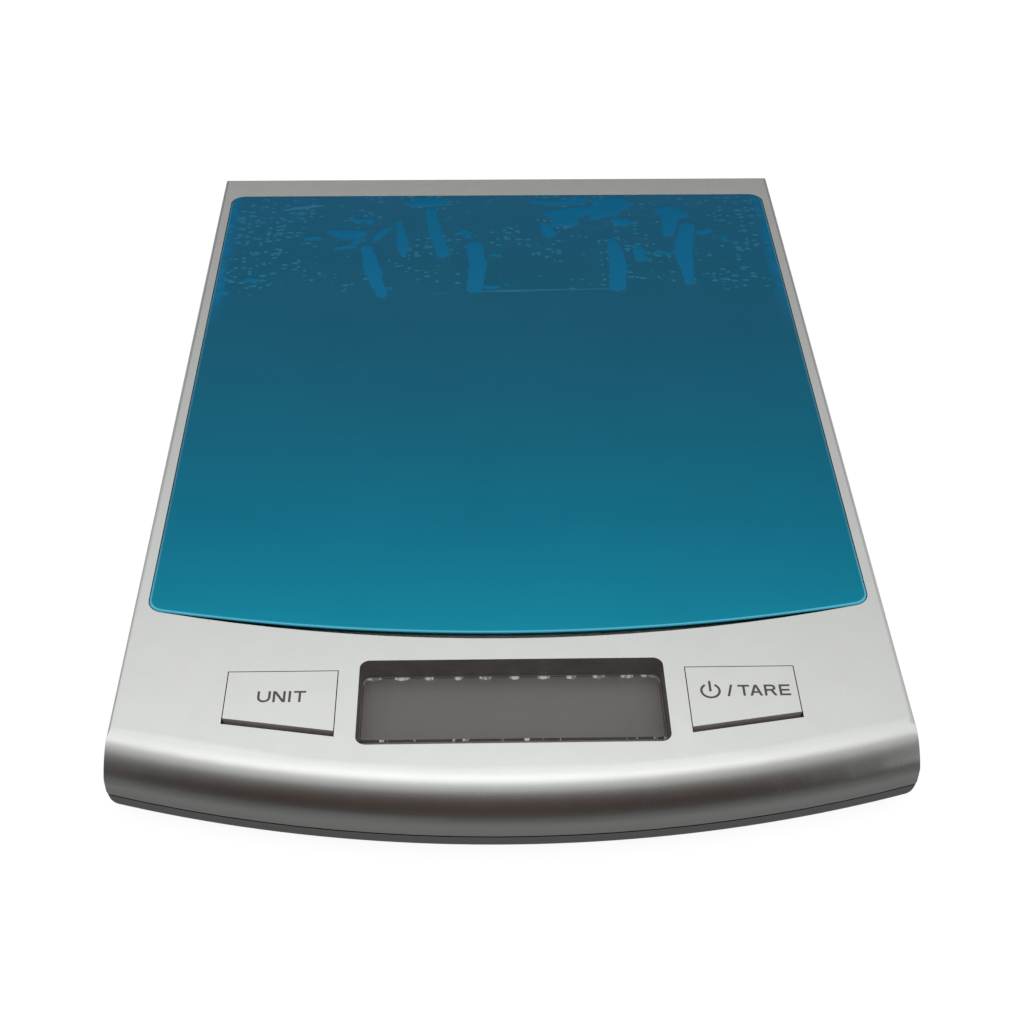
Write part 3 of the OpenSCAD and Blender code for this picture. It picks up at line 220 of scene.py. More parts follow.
# Marks of the glue under the blue film, as strokes of (x, y, radius) in millimetres
GLUE = [
    [(-37.0, 79.0, 1.5), (-35.5, 70.0, 2.2), (-34.0, 63.0, 1.9), (-32.0, 55.5, 1.5)],
    [(-33.5, 68.5, 0.9), (-33.0, 65.5, 1.2)],
    [(-31.0, 89.5, 0.7), (-33.5, 86.0, 1.1), (-35.5, 82.0, 0.5)],
    [(-28.5, 93.0, 0.9), (-27.5, 86.5, 1.2), (-27.0, 80.5, 1.8), (-26.5, 75.5, 0.9)],
    [(-42.0, 94.0, 0.7), (-36.5, 93.5, 1.2)],
    [(-47.5, 87.5, 1.0), (-43.0, 86.0, 2.5), (-38.8, 86.5, 1.6)],
    [(-45.5, 79.0, 0.6), (-41.0, 80.0, 1.1), (-39.5, 83.5, 1.0)],
    [(-54.0, 84.0, 0.8), (-50.5, 84.5, 0.9)],
    [(-25.5, 103.0, 1.5), (-21.0, 103.5, 2.4), (-16.5, 103.5, 1.8)],
    [(-19.5, 99.0, 1.5), (-18.0, 87.0, 1.8), (-15.5, 75.5, 1.9)],
    [(-10.0, 87.0, 1.3), (-8.5, 84.5, 0.8)],
    [(-7.0, 80.0, 2.2), (-6.0, 70.5, 2.5), (-7.0, 58.0, 2.1)],
    [(-75.5, 57.0, 0.9), (-74.0, 56.5, 1.0)],
    [(-69.0, 63.0, 0.8), (-66.0, 62.5, 0.9)],
    [(-30.0, 58.5, 0.8), (-29.8, 58.3, 0.8)],
    [(-3.5, 58.7, 0.9), (-1.0, 58.7, 0.8)],
    [(-2.5, 75.0, 0.5), (0.0, 74.5, 0.8)],
    [(10.5, 104.0, 1.0), (17.0, 103.0, 1.4), (24.5, 104.0, 1.6)],
    [(14.5, 97.0, 1.6), (19.5, 96.0, 3.9), (24.5, 98.5, 2.2)],
    [(16.5, 91.5, 1.8), (21.0, 92.0, 1.6)],
    [(13.0, 91.0, 1.2), (14.4, 86.0, 1.9)],
    [(20.0, 93.0, 1.9), (21.5, 91.5, 1.2)],
    [(29.5, 103.5, 2.0), (35.0, 102.0, 3.4)],
    [(28.5, 99.0, 2.6), (28.0, 95.5, 1.8)],
    [(28.0, 96.5, 1.8), (33.0, 98.5, 2.6)],
    [(34.0, 93.0, 1.8), (36.0, 91.8, 2.1)],
    [(31.5, 82.0, 1.1), (32.5, 76.0, 2.2), (32.7, 68.0, 2.4), (31.8, 58.5, 2.2)],
    [(39.0, 77.0, 1.7), (39.2, 73.0, 1.7)],
    [(46.5, 98.2, 1.7), (49.8, 98.0, 3.2), (53.0, 96.0, 1.8)],
    [(49.2, 94.0, 2.4), (48.2, 86.0, 1.8)],
    [(54.0, 89.5, 2.1), (51.3, 76.5, 2.6), (51.7, 60.5, 1.3)],
    [(57.5, 86.5, 1.3), (59.5, 87.5, 1.2)],
    [(63.5, 83.5, 0.6), (63.7, 82.0, 0.9)],
    [(66.2, 74.5, 0.7), (66.8, 73.5, 0.6)],
    [(23.3, 75.5, 0.7), (23.7, 75.3, 0.6)],
    [(42.0, 75.0, 0.4), (45.0, 75.7, 0.7), (48.0, 75.3, 0.5)],
]
# Creases and scratches in the film, as lines of (x, y, half width)
CREASES = [
    [(-62.0, 99.5, 0.3), (-56.0, 101.0, 0.7), (-50.0, 102.2, 0.3)],
    [(-25.5, 55.3, 0.1), (-5.5, 56.5, 0.2), (0.0, 56.8, 0.5), (12.0, 57.0, 0.4), (30.0, 57.6, 0.15)],
    [(35.0, 57.9, 0.12), (43.0, 58.6, 0.1)],
    [(-55.0, 64.5, 0.15), (-49.5, 64.6, 0.2), (-44.5, 65.5, 0.15)],
    [(64.0, 82.5, 0.25), (69.0, 77.5, 0.2), (74.0, 74.0, 0.25), (76.0, 71.0, 0.2)],
    [(62.0, 88.0, 0.08), (76.0, 87.5, 0.06)],
    [(29.5, -44.0, 0.05), (42.5, -47.0, 0.1), (55.5, -51.0, 0.12), (63.5, -57.0, 0.1),
     (67.5, -61.0, 0.05)],
    [(-77.0, -3.0, 0.05), (-60.0, 10.0, 0.08), (-46.0, 20.5, 0.04)],
]

# Silver paint: the step of its dark specks, their radius in cells and their level, and its flakes
# and clouds
PAINT_STEP = 11.0
PAINT_SPECK = (0.012, 0.02)
PAINT_DARK = 0.72
PAINT_FLAKE = 0.9
PAINT_CLOUD = 7.0
# The range that a soft noise keeps to, nearly everywhere
NOISE_SPAN = (0.3, 0.7)

# The display's face, with painted light against the shade of the window's rear wall: how far from its
# rear edge it turns paler, by how much, and to which colour
FACE_LIGHT_REACH = 5.0
FACE_PAINTED_LIGHT = 0.5
FACE_REAR_LIT = (0.127, 0.117, 0.11)

# The clear film on the display: its corners' radius, and how far it lies above the face
DISPLAY_CORNER = 1.9
DISPLAY_LIFT = 0.01
# Its lifted spots along the rear edge, painted whitish as glints: their step, the first one's x, their half
# widths, the depth of the row where it begins and is full, and how much further back it begins between two
# spots
SPOT_STEP = 5.87
SPOT_START = 0.69
SPOT_HALF = (0.7, 1.6)
SPOT_DEPTHS = (1.15, 0.85)
SPOT_BACK = 0.4
# The lifted corners, with painted glints in arcs: where they begin and are full along x and y, and their
# arcs' width and strength
TURN_X = (-0.3, 0.1)
TURN_DEPTHS = (2.6, 1.9)
ARC_WIDTHS = (0.34, 0.24)
ARC_CLEAR = 0.6
# The dark line ahead, painted shade at the foot of the window's front wall: its y, and its half width, soft
# and full
SHADE_LINE_Y = -98.2
SHADE_LINE_HALF = (0.36, 0.28)
# What stops the light: the painted glints, the line of painted shade, the cut edge (its widths, and its
# share), and the rest
GLINT_STOPS = 0.52
SHADE_LINE_STOPS = 0.7
CUT_WIDTHS = (0.3, 0.2)
CUT_STOPS = 0.25
FILM_STOPS = 0.04

# Lettering of the keys, in millimetres
CAP_HEIGHT = 3.0
STROKE = 0.5
INK_T = 0.015
UNIT_BASE = -91.7
TARE_BASE = -91.4
# The power mark: where its ring starts and ends in degrees, and its bar's ends off the middle and the top
RING_START = 122
RING_END = 418
BAR_LOW = 0.2
BAR_HIGH = 0.6


def obj_from_bmesh(name, bm):
    mesh = bpy.data.meshes.new(name)
    bm.to_mesh(mesh)
    bm.free()
    piece = bpy.data.objects.new(name, mesh)
    SCENE.collection.objects.link(piece)
    return piece


def add_node(tree, kind, inputs=None, **settings):
    """A new shader node, with its inputs set to values or linked to sockets."""
    made = tree.nodes.new(kind)
    for key, value in settings.items():
        setattr(made, key, value)
    for key, value in (inputs or {}).items():
        if isinstance(value, bpy.types.NodeSocket):
            tree.links.new(value, made.inputs[key])
        else:
            made.inputs[key].default_value = value
    return made


def add_maths(tree, operation, *values):
    """The result of a calculation with values or sockets."""
    return add_node(tree, "ShaderNodeMath", dict(enumerate(values)), operation=operation).outputs[0]


def add_mix(tree, factor, a, b, blend="MIX"):
    """Two colours mixed, each a socket or a plain (red, green, blue)."""
    first, second = ((*colour, 1) if isinstance(colour, tuple) else colour for colour in (a, b))
    made = add_node(tree, "ShaderNodeMix", {0: factor, 6: first, 7: second}, data_type="RGBA",
                    blend_type=blend)
    return made.outputs[2]


def add_ramp(tree, value, stops):
    """A colour that follows a value through stops of (value, colour)."""
    low, high = stops[0][0], stops[-1][0]
    share = add_node(tree, "ShaderNodeMapRange", {"Value": value, "From Min": low, "From Max": high})
    made = add_node(tree, "ShaderNodeValToRGB", {"Fac": share.outputs["Result"]})
    elements = made.color_ramp.elements
    elements.remove(elements[1])
    for count, (at, colour) in enumerate(stops):
        element = elements.new((at - low) / (high - low)) if count else elements[0]
        element.color = (*colour, 1)
    return made.outputs["Color"]


class Look:
    """A material in the making: its nodes, and the shader that they feed. Sizes are in millimetres."""

    def __init__(self, name, colour, **values):
        self.material = bpy.data.materials.new(name)
        self.material.use_nodes = True
        self.tree = self.material.node_tree
        self.shader = self.tree.nodes["Principled BSDF"]
        self.colour = colour
        self.shader.inputs["Base Color"].default_value = (*colour, 1)
        for socket, value in values.items():
            self.shader.inputs[socket.replace("_", " ")].default_value = value

    def node(self, kind, inputs=None, **settings):
        return add_node(self.tree, kind, inputs, **settings)

    def place(self, stretch=(1, 1, 1)):
        """Object coordinates in millimetres, squeezed along each axis."""
        coords = self.node("ShaderNodeTexCoord").outputs["Object"]
        scale = tuple(s / MM for s in stretch)
        return self.node("ShaderNodeMapping", {"Vector": coords, "Scale": scale}).outputs["Vector"]

    def axes(self):
        """Object coordinates in millimetres, one by one."""
        return self.node("ShaderNodeSeparateXYZ", {"Vector": self.place()}).outputs

    def noise(self, size, stretch=(1, 1, 1), detail=2.0, rough=0.5):
        inputs = {"Vector": self.place(stretch), "Scale": 1 / size, "Detail": detail, "Roughness": rough}
        return self.node("ShaderNodeTexNoise", inputs).outputs["Fac"]

    def cells(self, size, stretch=(1, 1, 1)):
        inputs = {"Vector": self.place(stretch), "Scale": 1 / size}
        return self.node("ShaderNodeTexVoronoi", inputs).outputs["Distance"]

    def maths(self, operation, *values):
        return add_maths(self.tree, operation, *values)

    def product(self, first, *others):
        """Values multiplied with each other."""
        for other in others:
            first = self.maths("MULTIPLY", first, other)
        return first

    def largest(self, first, *others):
        for other in others:
            first = self.maths("MAXIMUM", first, other)
        return first

    def between(self, value, low, high, to_low=0.0, to_high=1.0):
        """A value carried from one range to another, held at its ends."""
        inputs = {"Value": value, "From Min": low, "From Max": high, "To Min": to_low, "To Max": to_high}
        return self.node("ShaderNodeMapRange", inputs).outputs["Result"]

    def vary(self, size, low, high, stretch=(1, 1, 1), detail=2.0):
        """A value that drifts from place to place within a range."""
        return self.between(self.noise(size, stretch, detail), *NOISE_SPAN, low, high)

    def mix(self, factor, a, b, blend="MIX"):
        return add_mix(self.tree, factor, a, b, blend)

    def feed(self, socket, value):
        self.tree.links.new(value, self.shader.inputs[socket])

    def bump(self, height, depth):
        """Relief from a height of 0 to 1, with its depth in millimetres."""
        inputs = {"Height": height, "Strength": 1.0, "Distance": depth * MM}
        self.feed("Normal", self.node("ShaderNodeBump", inputs).outputs["Normal"])

    def mottled(self, size, amount, stretch=(1, 1, 1)):
        """Its own colour, varied by a share of itself."""
        darker = tuple(c * (1 - amount) for c in self.colour)
        lighter = tuple(min(c * (1 + amount), 1) for c in self.colour)
        return self.mix(self.vary(size, 0.0, 1.0, stretch), darker, lighter)


def painted(name, colour, roughness):
    """Silver paint on plastic: fine flakes, slightly uneven, with a few dark specks."""
    look = Look(name, colour, Metallic=1.0, Roughness=roughness)
    specks = look.between(look.cells(PAINT_STEP), *PAINT_SPECK, PAINT_DARK, 1.0)
    flakes = look.between(look.noise(PAINT_FLAKE, detail=1), 0.2, 0.8, 0.992, 1.008)
    cloud = look.vary(PAINT_CLOUD, 0.99, 1.01)
    look.feed("Base Color", look.mix(1.0, colour, look.product(specks, flakes, cloud), "MULTIPLY"))
    look.feed("Roughness", look.vary(5.0, roughness - 0.01, roughness + 0.01))
    look.bump(look.noise(1.0, detail=1), 0.0005)
    return look


def plastic(name, colour, roughness=0.5, grain=0.25, depth=0.01):
    """Moulded plastic with a fine spark-eroded grain."""
    look = Look(name, colour, Roughness=roughness)
    look.feed("Base Color", look.mottled(6.0, 0.08))
    look.feed("Roughness", look.vary(3.0, roughness - 0.06, roughness + 0.06))
    look.bump(look.noise(grain, detail=3), depth)
    return look


def metal(name, colour, roughness, stretch=(1, 1, 1), grain=0.15):
    """Bare metal, brushed along the axis that isn't squeezed."""
    look = Look(name, colour, Metallic=1.0, Roughness=roughness)
    look.feed("Base Color", look.mottled(4.0, 0.06, stretch))
    look.feed("Roughness", look.vary(grain, roughness * 0.75, roughness * 1.25, stretch))
    look.bump(look.noise(grain, stretch), 0.003)
    return look


def flecks(look, size, share, reach, stretch=(1, 1, 1)):
    """Small spots in a share of the cells, seen from above, with a radius of up to reach cells."""
    inputs = {"Vector": look.place(stretch), "Scale": 1 / size}
    cells = look.node("ShaderNodeTexVoronoi", inputs, voronoi_dimensions="2D").outputs
    chance = look.node("ShaderNodeSeparateColor", {"Color": cells["Color"]}).outputs[0]
    chosen = look.maths("SUBTRACT", look.maths("ADD", chance, share), 1.0)
    radius = look.maths("MINIMUM", look.product(chosen, SPECK_GROWTH * reach), reach)
    return look.maths("LESS_THAN", cells["Distance"], radius)


def film_specks(look, x, y):
    """1 at the specks under the blue film, which crowd in clouds near its rear and its sides."""
    share = look.between(look.noise(SPECK_CLOUD), 0.42, 0.66, *SPECK_SHARE)
    sides = [look.between(x, start, full, 0.0, added) for start, full, added in (SPECKS_LEFT, SPECKS_RIGHT)]
    share = look.maths("ADD", share, look.maths("ADD", *sides))
    share = look.product(share, look.between(y, SPECKS_FROM, SPECKS_FULL))
    return look.largest(*(flecks(look, size, share, reach, stretch) for size, reach, stretch in SPECK_CELLS))


def blue_film():
    """Blue protective film on steel, with glue marks, creases and specks under it, and a painted highlight
    along its cut edge.
    """
    look = Look("blue_film", (0.019, 0.183, 0.295), Metallic=1.0, Roughness=0.3)
    look.shader.inputs["Specular Tint"].default_value = (*FILM_TINT, 1)
    glue, crease, rim = (look.node("ShaderNodeAttribute", attribute_name=name).outputs["Fac"]
                         for name in ("glue", "crease", "rim"))
    x, y = look.axes()[:2]
    grain = look.vary(BRUSH, 0.985, 1.015, BRUSHED, detail=3)
    cloud = look.vary(FILM_CLOUD, 0.98, 1.02)
    # The film's blue with painted light, paler towards the front, times its grain and clouds
    tone = look.mix(1.0, add_ramp(look.tree, y, FILM_LIT_TONES), look.product(grain, cloud), "MULTIPLY")
    creased = look.mix(1.0, tone, CREASE_SHADE, "MULTIPLY")
    tone = look.mix(look.product(look.between(crease, -0.06, 0.08), CREASE_CLEAR), tone, creased)
    tone = look.mix(look.product(film_specks(look, x, y), SPECK_CLEAR), tone, SPECK_COLOUR)
    strip = look.product(look.between(look.maths("ABSOLUTE", x), *STRIP_X),
                         look.between(look.noise(5.0), 0.4, 0.6, 0.45, 1.0), look.between(y, *STRIP_Y))
    ragged = look.between(look.noise(GLUE_RAGGED, detail=4, rough=0.6), 0.25, 0.75, -GLUE_REACH, GLUE_REACH)
    patch = look.largest(look.between(look.maths("ADD", glue, ragged), -0.1, 0.1), strip)
    tone = look.mix(patch, tone, GLUE_COLOUR)
    # The painted highlight along the cut edge, paler nearer the viewer
    cut = look.mix(look.between(rim, RIM_LEAST, 1.0), RIM_HIGHLIGHT_FAR, RIM_HIGHLIGHT_NEAR)
    look.feed("Base Color", look.mix(look.between(rim, 0.0, RIM_LEAST, 0.0, RIM_CLEAR), tone, cut))
    look.feed("Metallic", look.between(rim, 0.0, 1.0, 1.0, RIM_METAL))
    look.feed("Roughness", look.vary(BRUSH, 0.28, 0.33, BRUSHED))
    look.bump(look.noise(BRUSH, BRUSHED), 0.0008)
    return look


def polariser():
    """The blank display's face: a warm grey sheet, a little uneven, with painted light that makes it paler
    towards its rear, where the window's rear wall shades it.
    """
    look = Look("polariser", (0.118, 0.109, 0.103), Roughness=0.5)
    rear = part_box("display_film")[1].y / MM
    painted_light = look.between(look.axes()[1], rear - FACE_LIGHT_REACH, rear, 0.0, FACE_PAINTED_LIGHT)
    look.feed("Base Color", look.mix(painted_light, look.mottled(14.0, 0.03), FACE_REAR_LIT))
    look.feed("Roughness", look.vary(4.0, 0.46, 0.54))
    look.bump(look.noise(6.0), 0.002)
    return look


def clear_film():
    """Thin clear protective film: nearly all light passes, but less at its edges, at its lifted spots and
    corners, painted whitish as glints, and at a dark line of painted shade near its front.
    """
    look = Look("clear_film", (0.8, 0.8, 0.78), Roughness=0.45)
    low, high = (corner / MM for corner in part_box("display_film"))
    x, y = look.axes()[:2]
    # How far past the middle of the corner's radius, and how far inside the outline
    middle = look.maths("ABSOLUTE", look.maths("SUBTRACT", y, (low.y + high.y) / 2))
    over_x = look.maths("SUBTRACT", look.maths("ABSOLUTE", x), high.x - DISPLAY_CORNER)
    over_y = look.maths("SUBTRACT", middle, (high.y - low.y) / 2 - DISPLAY_CORNER)
    corner = look.node("ShaderNodeCombineXYZ", {0: look.largest(over_x, 0.0), 1: look.largest(over_y, 0.0)})
    length = look.node("ShaderNodeVectorMath", {0: corner.outputs[0]}, operation="LENGTH")
    inside = look.maths("SUBTRACT", DISPLAY_CORNER, length.outputs["Value"])
    # The lifted spots along the rear edge, painted whitish as glints, with the last one running on into the
    # corner
    broken = look.noise(1.1, (1, 0.2, 1), detail=3)
    along = look.maths("PINGPONG", look.maths("SUBTRACT", x, SPOT_START), SPOT_STEP / 2)
    half = look.between(look.noise(5.0, (1, 0.1, 1)), 0.35, 0.65, *SPOT_HALF)
    lifted = look.largest(look.between(look.maths("SUBTRACT", half, along), -0.2, 0.3),
                          look.between(over_x, -2.2, -1.6))
    depth = look.maths("ADD", y, look.between(along, 0.0, SPOT_HALF[1], 0.0, -SPOT_BACK))
    rear = look.between(depth, *(high.y - deep for deep in SPOT_DEPTHS))
    glint_spots = look.product(lifted, rear, look.between(broken, 0.36, 0.5, 0.45, 1.0))
    # The painted glints in arcs in the rear corners, and the dark line of painted shade ahead with its pale
    # ticks of painted glint
    turn = look.product(look.between(over_x, *TURN_X), look.between(y, *(high.y - d for d in TURN_DEPTHS)))
    glint_arcs = look.product(turn, look.between(inside, *ARC_WIDTHS), ARC_CLEAR)
    # A line of painted shade near the film's front edge
    line = look.between(look.maths("ABSOLUTE", look.maths("SUBTRACT", y, SHADE_LINE_Y)), *SHADE_LINE_HALF)
    glint_ticks = look.product(line, look.between(broken, 0.62, 0.70, 0.0, 0.8))
    glints = look.largest(glint_spots, glint_arcs, glint_ticks)
    cut = look.between(inside, *CUT_WIDTHS, 0.0, CUT_STOPS)
    # Whitish where glints are painted, nearly black elsewhere, which shows at the cut edge and the line of
    # painted shade
    look.feed("Base Color", look.mix(glints, (0.02, 0.018, 0.018), (0.78, 0.77, 0.74)))
    look.feed("Alpha", look.largest(look.product(glints, GLINT_STOPS), cut, look.product(line, SHADE_LINE_STOPS),
                                    FILM_STOPS))
    look.feed("Roughness", look.vary(1.5, 0.4, 0.5))
    return look


def board():
    """Green solder resist over copper tracks."""
    look = Look("board_green", (0.012, 0.13, 0.05), Roughness=0.35)
    tracks = look.between(look.cells(2.2, (1, 0.35, 1)), 0.42, 0.48)
    look.feed("Base Color", look.mix(tracks, (0.010, 0.11, 0.042), (0.02, 0.19, 0.07)))
    look.feed("Roughness", look.vary(2.0, 0.3, 0.42))
    look.bump(tracks, 0.02)
    return look


def make_looks():
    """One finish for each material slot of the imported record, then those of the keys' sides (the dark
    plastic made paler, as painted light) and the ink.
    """
    looks = {
        "silver_paint": painted("silver_paint", (0.60, 0.61, 0.592), 0.27),
        # The base pan's paint is darker than the cover's: partly a greyer paint, partly painted shade for the
        # strip below the seam, which lies in the floor's contact shadow
        "base_plastic": painted("base_plastic", (0.37, 0.373, 0.365), 0.3),
        "dark_plastic": plastic("dark_plastic", (0.067, 0.058, 0.059), 0.45),
        "black_rubber": plastic("black_rubber", (0.02, 0.02, 0.02), 0.8, 0.4, 0.02),
        "platform_steel": metal("platform_steel", (0.62, 0.61, 0.60), 0.3, (0.04, 1, 1)),
        "screw_steel": metal("screw_steel", (0.55, 0.54, 0.52), 0.28),
        "blue_film": blue_film(),
        "tape": plastic("tape", (0.75, 0.74, 0.68), 0.6, 0.6, 0.01),
        "cell_aluminium": metal("cell_aluminium", (0.75, 0.75, 0.76), 0.32, (1, 0.06, 1)),
        "white_resin": plastic("white_resin", (0.78, 0.77, 0.72), 0.35, 1.2, 0.04),
        "polariser": polariser(),
        "display_glass": plastic("display_glass", (0.14, 0.15, 0.14), 0.12, 2.0, 0.001),
        "clear_film": clear_film(),
        "zebra_rubber": plastic("zebra_rubber", (0.55, 0.33, 0.38), 0.6),
        "board_green": board(),
        "black_resin": plastic("black_resin", (0.015, 0.015, 0.017), 0.3, 0.8, 0.02),
        "component_metal": metal("component_metal", (0.70, 0.70, 0.70), 0.2),
        "capacitor_ceramic": plastic("capacitor_ceramic", (0.48, 0.33, 0.18), 0.5),
        "plunger_plastic": plastic("plunger_plastic", (0.35, 0.09, 0.04), 0.4),
        "contact_metal": metal("contact_metal", (0.80, 0.72, 0.50), 0.22, (1, 0.06, 1)),
        "lead_red": plastic("lead_red", (0.50, 0.02, 0.015), 0.4, 0.6),
        "lead_black": plastic("lead_black", (0.015, 0.015, 0.015), 0.4, 0.6),
        "lead_green": plastic("lead_green", (0.02, 0.22, 0.06), 0.4, 0.6),
        "lead_white": plastic("lead_white", (0.75, 0.75, 0.72), 0.4, 0.6),
        # The keys' unpainted sides: the dark plastic made paler, painted light against the shade in the gap
        # round each key
        "key_side": plastic("key_side", (0.23, 0.195, 0.21), 0.5),
        "ink": plastic("ink", (0.045, 0.042, 0.044), 0.5, 0.2, 0.003),
    }
    return {slot: look.material for slot, look in looks.items()}


def soften(name, width, segments=2, angle=32, bare=None, bare_look="dark_plastic", rounding=None,
           weighted=True):
    """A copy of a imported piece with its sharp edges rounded, which stands for that piece.

    bare tells from a face's corners (in millimetres) and normal whether it is unpainted plastic.
    rounding gives the width at an edge's middle, where that differs from place to place.
    weighted lets the larger faces lead the shading.
    """
    source = NODES[name]
    bm = bmesh.new()
    bm.from_mesh(source.data)
    bmesh.ops.remove_doubles(bm, verts=bm.verts, dist=WELD * MM)
    bmesh.ops.dissolve_limit(bm, angle_limit=math.radians(FLAT_TURN), verts=bm.verts, edges=bm.edges)
    weight = bm.edges.layers.float.new("bevel_weight_edge")
    for edge in bm.edges:
        if len(edge.link_faces) == 2 and edge.calc_face_angle() > math.radians(angle):
            middle = (edge.verts[0].co + edge.verts[1].co) / 2 / MM
            edge[weight] = rounding(middle) / width if rounding else 1.0
    piece = obj_from_bmesh(name + "_shell", bm)
    mesh = piece.data
    if "custom_normal" in mesh.attributes:
        mesh.attributes.remove(mesh.attributes["custom_normal"])
    mesh.materials.clear()
    for slot in source.material_slots:
        mesh.materials.append(slot.material)
    if bare:
        mesh.materials.append(LOOKS[bare_look])
        for face in mesh.polygons:
            if bare([mesh.vertices[v].co / MM for v in face.vertices], face.normal):
                face.material_index = 1
    mesh.shade_smooth()
    mesh.set_sharp_from_angle(angle=math.radians(angle))
    edge = piece.modifiers.new("edges", "BEVEL")
    edge.width = width * MM
    edge.segments = segments
    edge.limit_method = "WEIGHT"
    edge.use_clamp_overlap = True
    if weighted:
        flat = piece.modifiers.new("normals", "WEIGHTED_NORMAL")
        flat.keep_sharp = True
    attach(piece, source["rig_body"])
    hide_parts(name)
    return piece


def cover_rounding(place):
    """Radius of the cover's edge at a place: widest round the platform, finest at the keys."""
    if place.z < COVER_HIGH.z - SKIN_TOP and abs(place.x) < WINDOW_HALF and place.y < RECESS_FRONT:
        return 0
    if (place.z < COVER_HIGH.z - SKIN_TOP or abs(place.x) > COVER_HIGH.x - SIDE_EDGE
            or place.y > COVER_HIGH.y - REAR_EDGE):
        return EDGE_FINE
    if place.y > RECESS_FRONT:
        return EDGE_RECESS
    return EDGE_WINDOW if abs(place.x) < WINDOW_HALF else EDGE_KEY


def inside_cover(corners, normal):
    """True within the cover's window, key openings and hollow, which the paint doesn't reach."""
    if normal.z > 0.5 and corners[0].z > COVER_HIGH.z - SKIN_TOP:
        return False
    if min(c.z for c in corners) > DECK_TOP - SKIN_TOP and min(c.y for c in corners) > RECESS_FRONT:
        return False
    for c in corners:
        out = math.hypot(c.x, c.y - COVER_HIGH.y + COVER_LENGTH - COVER_BOW) - COVER_BOW + COVER_NOSE
        up = max(c.z - COVER_HIGH.z + COVER_NOSE, 0)
        on_nose = out > 0 and math.hypot(out, up) > COVER_NOSE - SKIN_NOSE
        if on_nose or abs(c.x) > COVER_HIGH.x - SKIN_SIDE or c.y > COVER_HIGH.y - SKIN_REAR:
            return False
    return True


def below_key_top(corners, normal):
    """True for every face of a key but its top."""
    return normal.z < 0.5


def front_edge(x, inset):
    """Y of the platform's bowed front edge at x."""
    side = PLATE_HIGH.x - PLATE_CORNER
    middle = PLATE_LOW.y + PLATE_BOW
    if abs(x) <= side * (PLATE_BOW - inset) / (PLATE_BOW - PLATE_CORNER):
        return middle - math.sqrt((PLATE_BOW - inset) ** 2 - x * x)
    corner = middle - math.sqrt((PLATE_BOW - PLATE_CORNER) ** 2 - side * side)
    return corner - math.sqrt(max((PLATE_CORNER - inset) ** 2 - (abs(x) - side) ** 2, 0))


def rear_edge(x, inset):
    """Y of the platform's rear edge at x."""
    over = max(abs(x) - PLATE_HIGH.x + PLATE_CORNER, 0)
    return PLATE_HIGH.y - PLATE_CORNER + math.sqrt(max((PLATE_CORNER - inset) ** 2 - over * over, 0))


def columns(inset, step):
    """X of the grid's columns: even in the middle, closer round the corners."""
    side = PLATE_HIGH.x - PLATE_CORNER
    turns = [side + (PLATE_CORNER - inset) * math.sin(math.radians(a)) for a in range(15, 91, 15)]
    count = round(2 * side / step)
    middle = [-side + 2 * side * i / count for i in range(count + 1)]
    return [-x for x in reversed(turns)] + middle + turns


def sheet_over_edge(name, xs, rows, inset, top_z, profile, least=None):
    """A sheet with the platform's outline: a grid on top, then rings of (inset, z) round its edge.

    least gives the least inset at a place, where that differs from side to side.
    """
    bm = bmesh.new()
    grid = []
    for v in rows:
        line = []
        for x in xs:
            y0, y1 = front_edge(x, inset), rear_edge(x, inset)
            line.append(bm.verts.new(Vector((x, y0 + v * (y1 - y0), top_z)) * MM))
        grid.append(line)
    for low, high in zip(grid, grid[1:]):
        for i in range(len(xs) - 1):
            bm.faces.new((low[i], low[i + 1], high[i + 1], high[i]))
    ring = grid[0] + [r[-1] for r in grid[1:]] + grid[-1][-2::-1] + [r[0] for r in grid[-2:0:-1]]
    flat = [v.co.copy() for v in ring]
    count = len(ring)
    outward = []
    for i in range(count):
        along = flat[(i + 1) % count] - flat[i - 1]
        outward.append(Vector((along.y, -along.x, 0)).normalized())
    for inset_here, z in profile:
        nxt = []
        for i in range(count):
            held = max(inset_here, least(flat[i] / MM)) if least else inset_here
            place = flat[i] + outward[i] * (inset - held) * MM
            place.z = z * MM
            nxt.append(bm.verts.new(place))
        for i in range(count):
            j = (i + 1) % count
            bm.faces.new((ring[j], ring[i], nxt[i], nxt[j]))
        ring = nxt
    bm.faces.new(ring)
    bmesh.ops.recalc_face_normals(bm, faces=bm.faces)
    return obj_from_bmesh(name, bm)


def quarter(inset, radius, top_z, steps=5):
    """Rings of a rounded edge, from the flat top down to the side."""
    turns = [math.radians(90 * k / steps) for k in range(1, steps + 1)]
    return [(inset + radius * (1 - math.sin(a)), top_z - radius * (1 - math.cos(a))) for a in turns]


def distance_to(strokes, x, y):
    """Distance in millimetres to the nearest stroke's edge, less than zero inside."""
    nearest = np.full(x.shape, 1e3)
    for stroke in strokes:
        for (ax, ay, ar), (bx, by, br) in zip(stroke, stroke[1:]):
            dx, dy = bx - ax, by - ay
            t = np.clip(((x - ax) * dx + (y - ay) * dy) / (dx * dx + dy * dy), 0, 1)
            gap = np.hypot(x - ax - t * dx, y - ay - t * dy) - (ar + t * (br - ar))
            nearest = np.minimum(nearest, gap)
    return nearest


def film_reach(place):
    """Inset of the film's edge: it reaches over the gap beside and behind the plate, but not in front."""
    return FILM_OVER * (min(max((-place.y - OVER_FRONT) / OVER_SPAN, 0), 1) - 1)


def dress(piece, body, node, slot):
    """Gives a piece its finish and the body that it rides on, and hides the node that it stands for."""
    piece.data.materials.append(LOOKS[slot])
    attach(piece, body)
    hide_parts(node)


